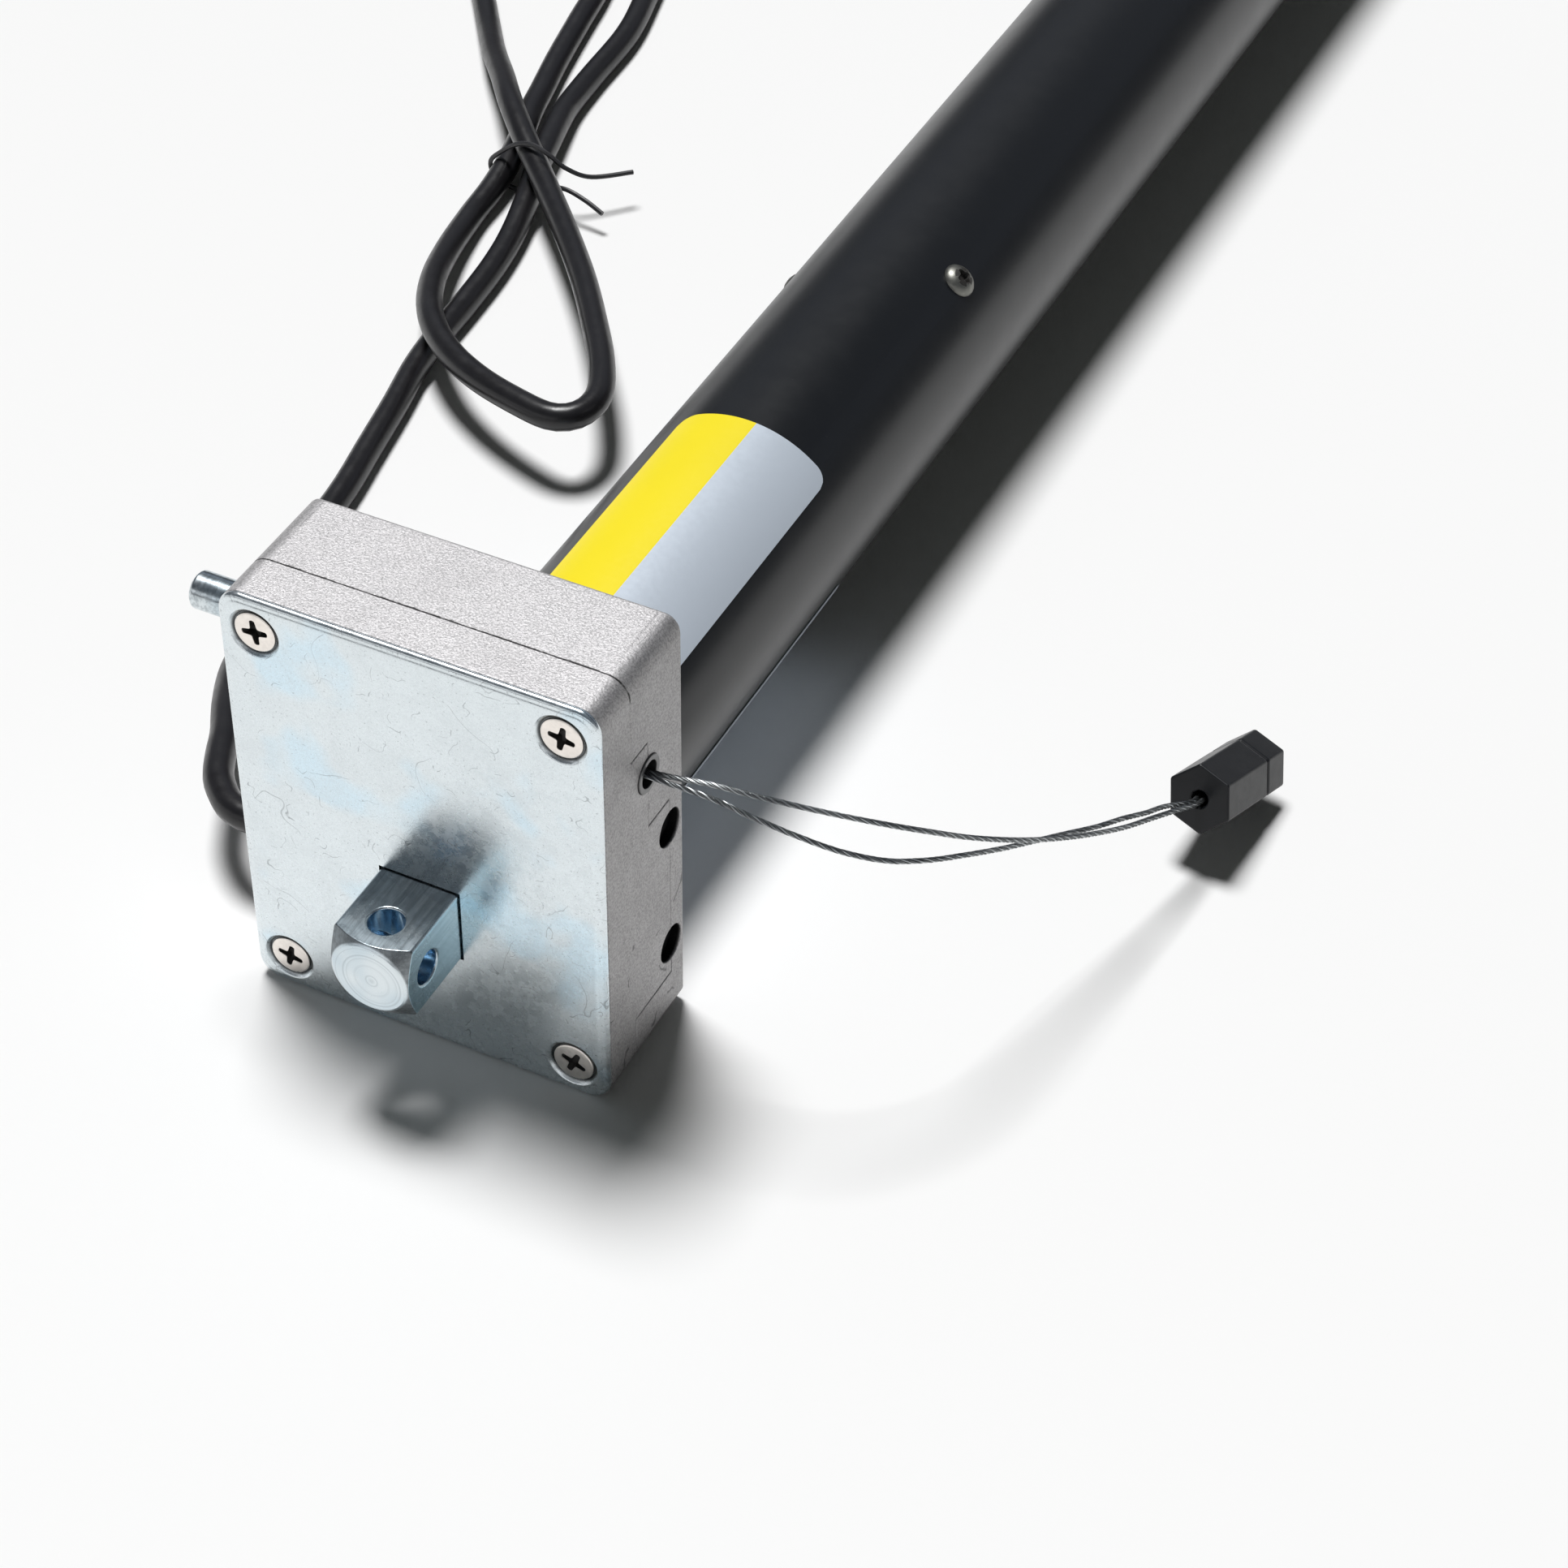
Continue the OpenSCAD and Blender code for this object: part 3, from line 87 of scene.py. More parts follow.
class MotorSizes(bpy.types.PropertyGroup):
    """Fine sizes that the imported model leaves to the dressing"""

    plate_round: length("Plate edge", "Reach of the plate's rounded edge", 0.0021, 0.0004, 0.003)
    plate_roll: length("Plate edge depth", "Depth of the plate's rounded edge", 0.00125, 0.0002, 0.0015)
    dimple_reach: length("Dimple radius", "Radius of the dimples round the screws", 0.00525, 0.0046, 0.006)
    cast_round: length("Casting edge", "Rounding of the castings' outer edges", 0.00024, 0.0001, 0.0006)
    stub_round: length("Stub edge", "Rounding of the stub's machined edges", 0.00012, 0.0001, 0.0006)
    pull_round: length("Pull edge", "Rounding of the pull handle's long edges", 0.0007, 0.0001, 0.001)
    stub_corner: length("Stub corner", "Rounding of the stub's long edges", 0.0007, 0.0002, 0.0012)
    stub_end: length("Stub end radius", "Radius of the flat round end of the stub", 0.0073, 0.006, 0.0078)
    seam: length("Plate gap", "Gap between the stub and the cover plate", 0.00035, 0.0001, 0.0006)
    tube_round: length("Tube edge", "Rounding of the tube's ends", 0.0003, 0.0001, 0.0006)
    cord_diameter: length("Cord diameter", "Diameter of the power cord", 0.0062, 0.005, 0.0064)
    wire_diameter: length("Wire diameter", "Diameter of the twisted release wire", 0.00106, 0.0008, 0.0012)
    wire_lay: length("Wire lay", "Length in which a strand goes once round", 0.0072, 0.003, 0.01)
    tie_diameter: length("Tie diameter", "Diameter of the twist tie", 0.0012, 0.0008, 0.0016)
    strands: IntProperty(name="Strands", description="Outer strands of the wire", default=6, min=4, max=8)


class MotorColours(bpy.types.PropertyGroup):
    """Colours of the finishes"""

    zinc: rgb("Zinc", "Zinc of the cover plate", (0.80, 0.86, 0.885))
    zinc_tint: rgb("Zinc tint", "Light blue patches in the zinc", (0.70, 0.87, 0.97))
    stub_zinc: rgb("Stub zinc", "Zinc of the machined stub and crank pin", (0.60, 0.69, 0.74))
    casting: rgb("Casting", "Sand textured die casting", (0.52, 0.508, 0.512))
    screw: rgb("Screw", "Satin nickel of the screw heads", (0.96, 0.90, 0.84))
    tube: rgb("Tube", "Satin black paint of the tube", (0.0035, 0.0045, 0.006))
    film_yellow: rgb("Yellow film", "Yellow part of the label", (0.97, 0.80, 0.012))
    film_silver: rgb("Silver film", "Silver white part of the labels", (0.64, 0.71, 0.80))
    cord: rgb("Cord", "Black jacket of the power cord", (0.010, 0.0095, 0.011))
    pull: rgb("Pull", "Black plastic of the pull handle", (0.011, 0.012, 0.014))
    wire: rgb("Wire", "Steel of the release wire", (0.42, 0.44, 0.45))
    table: rgb("Table", "White table", (0.93, 0.93, 0.93))


# Node tree helpers


class Nodes:
    """A node tree being built."""

    def __init__(self, tree):
        self.tree = tree
        tree.nodes.clear()

    def feed(self, socket, value):
        """Links an output to a socket, or sets the socket's constant."""
        if isinstance(value, bpy.types.NodeSocket):
            self.tree.links.new(value, socket)
        elif socket.type == "RGBA":
            socket.default_value = (*value, 1.0)
        else:
            socket.default_value = value

    def node(self, kind, *inputs, **settings):
        """A new node; each input is a socket's name or number and what feeds it."""
        made = self.tree.nodes.new(kind)
        for key, value in settings.items():
            setattr(made, key, value)
        for key, value in inputs:
            self.feed(made.inputs[key], value)
        return made

    def math(self, operation, *values):
        return self.node("ShaderNodeMath", *enumerate(values), operation=operation).outputs[0]


class Finish(Nodes):
    """A material being made: a Principled surface and the nodes that feed it."""

    def __init__(self, name, **fixed):
        self.material = bpy.data.materials.new(name)
        self.material.use_nodes = True
        super().__init__(self.material.node_tree)
        self.surface = self.node("ShaderNodeBsdfPrincipled")
        self.node("ShaderNodeOutputMaterial", ("Surface", self.surface.outputs[0]))
        self.coordinates = self.node("ShaderNodeTexCoord").outputs["Object"]
        self.height = None
        for key, value in fixed.items():
            label = key.replace("_", " ").title().replace("Ior", "IOR")
            self.feed(self.surface.inputs[label], value)

    def stretched(self, scale, turn=(0, 0, 0)):
        """Object coordinates, turned and scaled."""
        return self.node("ShaderNodeMapping", ("Vector", self.coordinates), ("Rotation", turn),
                         ("Scale", scale)).outputs["Vector"]

    def noise(self, size, detail=2.0, rough=0.5, vector=None):
        """Noise whose grains are about size metres across."""
        return self.node("ShaderNodeTexNoise", ("Vector", vector or self.coordinates),
                         ("Scale", 1.0 / size), ("Detail", detail),
                         ("Roughness", rough)).outputs["Fac"]

    def times(self, a, b):
        return self.math("MULTIPLY", a, b)

    def between(self, value, low, high, to_low=0.0, to_high=1.0):
        """The value's place between low and high, smoothly, brought to another range."""
        return self.node("ShaderNodeMapRange", ("Value", value), ("From Min", low), ("From Max", high),
                         ("To Min", to_low), ("To Max", to_high),
                         interpolation_type="SMOOTHSTEP").outputs["Result"]

    def mix(self, factor, a, b):
        """Mixes two colours."""
        return self.node("ShaderNodeMix", (0, factor), (6, a), (7, b), data_type="RGBA").outputs[2]

    def stain(self, base, mask, strength, colour):
        """Mixes a colour in where the mask is high."""
        return self.mix(self.times(mask, strength), base, colour)

    def part(self, axis):
        """One coordinate of the place on the piece."""
        return self.node("ShaderNodeSeparateXYZ", (0, self.coordinates)).outputs[axis]

    def radius(self, centre=(0, 0, 0), flat=(1, 0, 1)):
        """Distance from a line through centre; flat leaves out the line's own direction."""
        place = self.coordinates
        for operation, value in (("SUBTRACT", centre), ("MULTIPLY", flat)):
            made = self.node("ShaderNodeVectorMath", (0, place), (1, value), operation=operation)
            place = made.outputs[0]
        return self.node("ShaderNodeVectorMath", (0, place), operation="LENGTH").outputs["Value"]

    def hairlines(self, size, width, keep, turn):
        """Short thin squiggles: contour lines of one noise, kept where another is high."""
        field = self.noise(size, 1.5, 0.45, self.stretched((1, 1, 1), turn))
        off = self.math("ABSOLUTE", self.math("SUBTRACT", field, 0.5))
        where = self.noise(size * 0.8, 1.0, 0.5, self.stretched((1, 1, 1), (turn[1], 1.3, turn[0])))
        return self.times(self.between(off, 0.0, width, 1.0, 0.0), self.between(where, keep, keep + 0.03))

    def add_height(self, value, amount):
        """Adds value times amount metres to the relief."""
        part = self.times(value, amount)
        self.height = part if self.height is None else self.math("ADD", self.height, part)

    def done(self, colour=None, roughness=None):
        """Joins the colour, the roughness and the relief to the surface."""
        for key, value in (("Base Color", colour), ("Roughness", roughness)):
            if value is not None:
                self.feed(self.surface.inputs[key], value)
        bump = self.node("ShaderNodeBump", ("Height", self.height), ("Strength", 1.0), ("Distance", 1.0))
        self.feed(self.surface.inputs["Normal"], bump.outputs["Normal"])
        return self.material


def shade(colour, factor):
    """A colour made lighter or darker."""
    return tuple(min(1.0, c * factor) for c in colour)


# Finishes: the sizes of grains and marks are in metres

# The castings' parting line
PARTING_Y = 22.6 * MM
# Holes in the head's right side: Y, Z and radius in millimetres
SIDE_HOLES = ((36.5, 16.1, 3.9), (36.5, -13.1, 3.9), (28.7, 35.5, 3.8))


def zinc_sheet(colours):
    """Plated sheet with pale patches, fine scratches and painted shade in rings round the screws."""
    f = Finish("zinc_sheet", metallic=1.0)
    zinc = colours.zinc
    patches = f.between(f.noise(0.017, 2.0, 0.5, f.stretched((1, 1, 1), (0.4, 1.9, 0.1))), 0.53, 0.68)
    base = f.stain(zinc, patches, 0.85, colours.zinc_tint)
    clouds = f.between(f.noise(0.007, 5.0, 0.65), 0.38, 0.72, 0.0, 0.30)
    base = f.mix(clouds, base, shade(zinc, 0.84))
    grain = f.noise(0.00035, 3.0, 0.7)
    base = f.mix(f.between(grain, 0.35, 0.75, 0.0, 0.35), base, shade(zinc, 0.72))
    scratches = f.times(f.hairlines(0.016, 0.0035, 0.54, (0.3, 0.9, 0.2)), 0.6)
    scuffs = f.times(f.hairlines(0.0055, 0.008, 0.57, (1.1, 0.2, 0.7)), 0.75)
    marks = f.math("MAXIMUM", scratches, scuffs)
    base = f.stain(base, marks, 0.75, shade(zinc, 0.26))
    specks = f.between(f.noise(0.0006, 2.0, 0.6), 0.62, 0.70)
    base = f.stain(base, specks, 0.5, shade(zinc, 0.42))
    # Painted shade: a near black ring in the gap round each screw head
    for x, z in screw_places():
        far = f.radius((x, 0, z))
        ring = f.times(f.between(far, 0.0040, 0.0041), f.between(far, 0.0050, 0.0045))
        base = f.stain(base, ring, 0.88, (0.02, 0.02, 0.02))
    f.add_height(grain, 0.00001)
    f.add_height(f.noise(0.0014, 3.0, 0.6), 0.000014)
    f.add_height(marks, -0.000012)
    return f.done(base, f.between(f.noise(0.0025, 5.0, 0.7), 0.25, 0.75, 0.20, 0.33))


def sand_casting(colours):
    """Sandy die casting with a ragged parting line, and painted shade on its right side and in its holes.
    """
    f = Finish("sand_casting", metallic=0.75)
    cast, side, top = colours.casting, CASE_HIGH.x, CASE_HIGH.z
    grain = f.noise(0.00042, 4.0, 0.72)
    base = f.mix(f.between(grain, 0.34, 0.68), shade(cast, 1.32), shade(cast, 0.70))
    stains = f.between(f.noise(0.02, 3.0, 0.55), 0.40, 0.75)
    base = f.stain(base, stains, 0.20, shade(cast, 0.62))
    # The parting line, which wanders and shows round the top only
    ragged = f.between(f.noise(0.0035, 3.0, 0.7), 0.34, 0.56)
    wander = f.times(f.math("SUBTRACT", f.noise(0.0013, 3.0, 0.7), 0.5), 0.0005)
    off = f.math("ABSOLUTE", f.math("ADD", f.math("SUBTRACT", f.part(1), PARTING_Y), wander))
    seam = f.times(f.between(off, 0.00030, 0.00012), f.between(ragged, 0.0, 1.0, 0.45, 1.0))
    seam = f.times(seam, f.between(f.part(2), top - 0.0060, top - 0.0040))
    base = f.stain(base, seam, 0.9, (0.03, 0.03, 0.03))
    # Painted shade darkens the right side; smudges lie on its lower half
    flank = f.between(f.part(0), side - 0.0040, side - 0.0004)
    base = f.stain(base, flank, 0.36, (0.06, 0.06, 0.055))
    smudge = f.times(f.hairlines(0.008, 0.022, 0.55, (0.2, 0.6, 1.4)),
                     f.between(f.part(0), side - 0.0003, side - 0.0001))
    base = f.stain(base, f.times(smudge, f.between(f.part(2), 0.012, 0.004)), 0.75, (0.05, 0.05, 0.05))
    # Painted shade: the holes of the right side are darkened inside
    deep = f.times(f.between(f.part(0), side - 0.00012, side - 0.0007), f.between(f.part(0), 0.0, 0.001))
    for y, z, reach in SIDE_HOLES:
        far = f.radius((0, y * MM, z * MM), (0, 1, 1))
        hole = f.between(far, (reach + 0.25) * MM, (reach + 0.1) * MM)
        base = f.stain(base, hole, deep, (0.012, 0.012, 0.012))
    f.add_height(grain, 0.00009)
    f.add_height(f.noise(0.0016, 2.0, 0.5), 0.00003)
    return f.done(base, f.between(f.noise(0.003, 3.0, 0.6), 0.2, 0.8, 0.42, 0.54))


def machined_zinc(colours):
    """Plated bar, streaked along its sides and turned at its end, with painted shade and a painted
    reflection.
    """
    f = Finish("machined_zinc", metallic=1.0)
    zinc, front = colours.stub_zinc, STUB_LOW.y
    base = f.mix(f.between(f.noise(0.012, 2.0, 0.5), 0.4, 0.7), zinc, shade(colours.zinc, 0.92))
    on_end = f.between(f.part(1), front + 0.0005, front + 0.0002)
    on_side = f.math("SUBTRACT", 1.0, on_end)
    streaks = f.noise(0.0007, 4.0, 0.65, f.stretched((1.0, 0.045, 1.0)))
    base = f.stain(base, f.between(streaks, 0.35, 0.65, 0.0, 0.62), on_side, shade(zinc, 0.45))
    # Rings that the turning left on the end
    turning = f.node("ShaderNodeTexNoise", ("Scale", 1300.0), ("Detail", 3.0),
                     noise_dimensions="1D")
    f.feed(turning.inputs["W"], f.radius((0.0006, 0, -0.0004)))
    rings = turning.outputs["Fac"]
    f.add_height(f.times(rings, on_end), 0.000045)
    f.add_height(f.times(streaks, on_side), 0.000016)
    base = f.stain(base, f.between(rings, 0.5, 0.68, 0.0, 0.45), on_end, shade(zinc, 0.62))
    # Painted shade on the cone behind the end, a painted blue reflection on the right face, and painted
    # shade tinted blue in the cross holes
    widest = f.math("MAXIMUM", f.math("ABSOLUTE", f.part(0)), f.math("ABSOLUTE", f.part(2)))
    cone = f.times(f.between(widest, STUB_HALF - 0.00002, STUB_HALF - 0.0001), on_side)
    cone = f.times(cone, f.between(f.part(1), front + 0.0030, front + 0.0026))
    base = f.stain(base, cone, 0.72, (0.07, 0.075, 0.08))
    # Painted reflection: the right face is tinted blue
    flank = f.times(f.between(f.part(0), STUB_HALF - 0.0001, STUB_HALF - 0.00003), on_side)
    base = f.stain(base, flank, 0.6, (0.38, 0.62, 0.74))
    # Painted shade: the walls of the cross holes are darkened and tinted blue
    for flat in ((0, 1, 1), (1, 1, 0)):
        hole = f.between(f.radius(flat=flat), (STUB_HOLE + 0.15) * MM, (STUB_HOLE + 0.05) * MM)
        base = f.mix(hole, base, (0.36, 0.52, 0.66))
    wear_and_shade = f.times(f.between(f.part(1), 0.006, -0.005, 0.0, 0.05), on_side)
    return f.done(base, f.math("ADD", f.between(f.noise(0.002, 3.0, 0.6), 0.2, 0.8, 0.20, 0.28), wear_and_shade))


def satin_steel(name, colour, rough_low, rough_high, grain=0.0006):
    """Machined or plated steel with fine wear."""
    f = Finish(name, metallic=1.0)
    wear = f.between(f.noise(grain * 4, 3.0, 0.6), 0.35, 0.75)
    base = f.stain(colour, wear, 0.35, shade(colour, 0.7))
    f.add_height(f.noise(grain, 3.0, 0.6), 0.000008)
    return f.done(base, f.between(f.noise(grain * 3, 3.0, 0.6), 0.2, 0.8, rough_low, rough_high))


def moulded(name, colour, rough_low, rough_high, grain, relief, specular=0.5):
    """Moulded plastic, rubber or paint with a fine grain."""
    f = Finish(name, specular_ior_level=specular)
    mottle = f.between(f.noise(grain * 14, 3.0, 0.55), 0.35, 0.7)
    base = f.stain(colour, mottle, 0.3, shade(colour, 1.5))
    f.add_height(f.noise(grain, 2.0, 0.55), relief)
    return f.done(base, f.between(f.noise(grain * 6, 3.0, 0.6), 0.25, 0.75, rough_low, rough_high))


def satin_paint(colours):
    """Satin black paint with a little dust."""
    f = Finish("satin_black_paint", specular_ior_level=0.6)
    dust = f.between(f.noise(0.0009, 2.0, 0.6), 0.72, 0.80)
    base = f.stain(colours.tube, dust, 0.04, (0.3, 0.3, 0.3))
    f.add_height(f.noise(0.0009, 2.0, 0.5), 0.000006)
    return f.done(base, f.between(f.noise(0.006, 4.0, 0.6), 0.25, 0.75, 0.30, 0.33))


def printed_film(name, colour, metallic=0.0):
    """Bare coloured film."""
    f = Finish(name, specular_ior_level=0.5, metallic=metallic)
    clouds = f.between(f.noise(0.02, 2.0, 0.5), 0.35, 0.7, 0.0, 0.25)
    base = f.mix(clouds, colour, shade(colour, 0.93))
    f.add_height(f.noise(0.0025, 2.0, 0.5), 0.000003)
    return f.done(base, f.between(f.noise(0.0012, 3.0, 0.6), 0.25, 0.75, 0.36, 0.42))


# Mesh helpers


def placed(name, data):
    """A new object in the scene."""
    made = bpy.data.objects.new(name, data)
    bpy.context.scene.collection.objects.link(made)
    return made


def new_piece(name, mesh, finishes=()):
    """A mesh in the scene with its finishes; clearing them would also reset each face's choice."""
    piece = placed(name, mesh)
    if mesh.materials:
        mesh.materials.clear()
    for made in finishes:
        mesh.materials.append(made)
    return piece


def mesh_of(name, vertices, faces):
    mesh = bpy.data.meshes.new(name)
    mesh.from_pydata([tuple(v) for v in vertices], [], faces)
    mesh.update()
    return mesh


def outward(mesh):
    """Turns a closed mesh's faces outwards."""
    work = bmesh.new()
    work.from_mesh(mesh)
    bmesh.ops.recalc_face_normals(work, faces=work.faces)
    work.to_mesh(mesh)
    work.free()
    return mesh


def applied(piece):
    """Turns the piece and its modifiers into a plain mesh."""
    plain = bpy.data.meshes.new_from_object(piece.evaluated_get(bpy.context.evaluated_depsgraph_get()))
    piece.modifiers.clear()
    piece.data = plain
    return piece


def smooth_by_angle(mesh, degrees):
    for polygon in mesh.polygons:
        polygon.use_smooth = True
    mesh.set_sharp_from_angle(angle=math.radians(degrees))


def settle(piece):
    """Evens the normals out and applies the modifiers."""
    weighted = piece.modifiers.new("even_normals", "WEIGHTED_NORMAL")
    weighted.keep_sharp = True
    weighted.weight = 100
    return applied(piece)


def bevelled(piece, edge, segments, degrees, limit, clamp):
    """Rounds the edges that a weight or an angle picks."""
    smooth_by_angle(piece.data, degrees)
    bevel = piece.modifiers.new("rounding", "BEVEL")
    bevel.width = edge
    bevel.segments = segments
    bevel.limit_method = limit
    bevel.angle_limit = math.radians(degrees)
    bevel.use_clamp_overlap = clamp
    return settle(piece)


def carve(piece, mesh, operation="DIFFERENCE"):
    """Cuts a closed mesh out of a piece, or joins the two, or keeps what they share."""
    cutter = new_piece(mesh.name, mesh)
    cut = piece.modifiers.new("cut", "BOOLEAN")
    cut.operation = operation
    cut.solver = "EXACT"
    cut.object = cutter
    applied(piece)
    bpy.data.objects.remove(cutter)


def cover(data, finish):
    """Gives all of a mesh one finish."""
    data.materials.clear()
    data.materials.append(finish)


def paint(names, finish):
    """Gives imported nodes, named in one string, their finish."""
    for name in names.split():
        cover(NODES[name].data, finish)


def fit_out(piece, node):
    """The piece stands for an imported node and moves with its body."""
    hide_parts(node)
    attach(piece, BODY_OF[node])
    return piece


def on_outline(point):
    """True on the outer faces of the head's rounded outline."""
    middle_z = (CASE_LOW.z + CASE_HIGH.z) / 2
    x = max(abs(point.x) - (CASE_HIGH.x - HEAD_CORNER), 0.0)
    z = max(abs(point.z - middle_z) - (CASE_HIGH.z - middle_z - HEAD_CORNER), 0.0)
    return math.hypot(x, z) > HEAD_CORNER - 0.03 * MM


def softened(name, node, edge, finish, angle=32.0, only=None):
    """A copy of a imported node's mesh with its sharp edges rounded, or only those that a test picks."""
    mesh = NODES[node].data.copy()
    mesh.name = name
    work = bmesh.new()
    work.from_mesh(mesh)
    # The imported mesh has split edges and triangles, which become whole flat faces again
    bmesh.ops.remove_doubles(work, verts=work.verts, dist=2e-6)
    bmesh.ops.dissolve_limit(work, angle_limit=math.radians(0.4), verts=work.verts, edges=work.edges)
    weight = work.edges.layers.float.new("bevel_weight_edge")
    for side in work.edges:
        sharp = len(side.link_faces) == 2 and side.calc_face_angle() > math.radians(angle)
        if sharp and (only is None or all(only(v.co) for v in side.verts)):
            side[weight] = 1.0
    work.to_mesh(mesh)
    work.free()
    if mesh.has_custom_normals:
        mesh.normals_split_custom_set([(0, 0, 0)] * len(mesh.loops))
    piece = new_piece(name, mesh, [finish])
    for polygon in mesh.polygons:
        polygon.material_index = 0
    bevelled(piece, edge, 3, angle, "WEIGHT", only is None)
    return fit_out(piece, node)


def turned(name, profile, centre=(0, 0), steps=64):
    """A closed lathe shape round a line along Y; profile is (radius, y) from axis to axis."""
    vertices, faces = [], []
    inner = profile[1:-1]
    for r, y in inner:
        for k in range(steps):
            a = 2 * math.pi * k / steps
            vertices.append((centre[0] + r * math.cos(a), y, centre[1] + r * math.sin(a)))
    vertices.append((centre[0], profile[0][1], centre[1]))
    vertices.append((centre[0], profile[-1][1], centre[1]))
    for ring in range(len(inner) - 1):
        a, b = ring * steps, (ring + 1) * steps
        for k in range(steps):
            n = (k + 1) % steps
            faces.append((a + k, b + k, b + n, a + n))
    start, last = len(inner) * steps, (len(inner) - 1) * steps
    for k in range(steps):
        n = (k + 1) % steps
        faces.append((start, k, n))
        faces.append((start + 1, last + n, last + k))
    return outward(mesh_of(name, vertices, faces))


def arc(centre, radius, start, stop, steps):
    """Points on an arc, angles in degrees."""
    angles = [math.radians(start + (stop - start) * k / steps) for k in range(steps + 1)]
    return [(centre[0] + radius * math.cos(a), centre[1] + radius * math.sin(a)) for a in angles]


def round_outline(low, high, radius, steps):
    """A rounded rectangle's points in X and Z, all the way round."""
    left, bottom = low[0] + radius, low[1] + radius
    right, top = high[0] - radius, high[1] - radius
    points = []
    for x, z, start in ((right, top, 0), (left, top, 90), (left, bottom, 180), (right, bottom, 270)):
        points += arc((x, z), radius, start, start + 90, steps)
    return points


def stacked(name, rings):
    """A closed solid through rings of as many points, capped at both ends."""
    count = len(rings[0])
    faces = []
    for ring in range(len(rings) - 1):
        a, b = ring * count, (ring + 1) * count
        for k in range(count):
            n = (k + 1) % count
            faces.append((a + k, a + n, b + n, b + k))
    faces.append(tuple(range(count - 1, -1, -1)))
    faces.append(tuple((len(rings) - 1) * count + k for k in range(count)))
    return outward(mesh_of(name, [p for ring in rings for p in ring], faces))


def square_bar(name, half, start, stop):
    """A square bar along Y."""
    corners = ((half, half), (-half, half), (-half, -half), (half, -half))
    return stacked(name, [[(x, y, z) for x, z in corners] for y in (start, stop)])


# Lines that the cords follow and a few sizes, in millimetres, as in the part's source

STUB_HOLE = 3.3
PULL_FLATS, PULL_LONG, PULL_ROLL = 12.5, 26.6, 14.5
PULL_BORE, PULL_HOLE = 1.7, 12.0
# The pull's outline along its length: how far its flats stand in, and the distance from its face
PULL_SECTION = ((0.45, 0), (0.2, 0.08), (0.06, 0.22), (0, 0.45), (0, 17.8), (0.05, 18.05),
                (0.18, 18.3), (0.32, 18.6), (0.18, 18.9), (0.05, 19.15), (0, 19.4),
                (0, PULL_LONG - 0.7), (0.1, PULL_LONG - 0.35), (0.3, PULL_LONG - 0.1),
                (0.6, PULL_LONG))
PULL_DRILL = ((0, -1), (PULL_BORE + 0.35, -1), (PULL_BORE + 0.35, 0.02), (PULL_BORE + 0.08, 0.25),
              (PULL_BORE, 0.5), (PULL_BORE, PULL_HOLE), (0, PULL_HOLE))
PULL_FACE = Vector((108.8, 120.8, -16.6))
PULL_LEAN = (Matrix.Rotation(math.radians(-7.6), 3, "Z")
             @ Matrix.Rotation(math.radians(-20.0), 3, "X"))
WIRE_Y, WIRE_Z = 28.7, 35.5
FERRULE_X = 23.0
STRAND_GAP = 1.2
# Points along the cord and the wire, and the play that leaves the strands apart
CORD_POINTS, WIRE_POINTS = 420, 1500
STRAND_FIT = 0.97
WIRE_OUT = [(38, WIRE_Y, WIRE_Z), (48.1, 30, 36), (56.7, 31.6, 35.4), (64.7, 34.3, 33.8),
            (71.1, 38, 31.3), (77.2, 42.7, 28), (82.6, 48.4, 23.9), (87, 54.6, 19.3),
            (91.1, 62.1, 14.1), (94.4, 69.8, 9), (97.5, 78.5, 3.6), (100.3, 87.1, -1.3),
            (102.7, 95.5, -5.8), (104.8, 103.1, -9.2), (107, 110.2, -12.2)]
WIRE_BACK = [(105.5, 110.2, -10.6), (103.9, 104.2, -7.9), (101.6, 97.8, -5), (99, 90.3, -2),
             (96, 82.3, 1.7), (93, 73.5, 5.9), (90.2, 64.7, 10.3), (86.9, 55.4, 15.2),
             (83, 48, 18.6), (77.8, 42, 21.3), (71.6, 37.3, 24.6), (65, 33.9, 28.1),
             (56.8, 31.4, 31.5), (49.4, 29.9, 34.2), (38, WIRE_Y, WIRE_Z)]
RELIEF_TIP = Vector((-49.5, 32.0, -15.4))
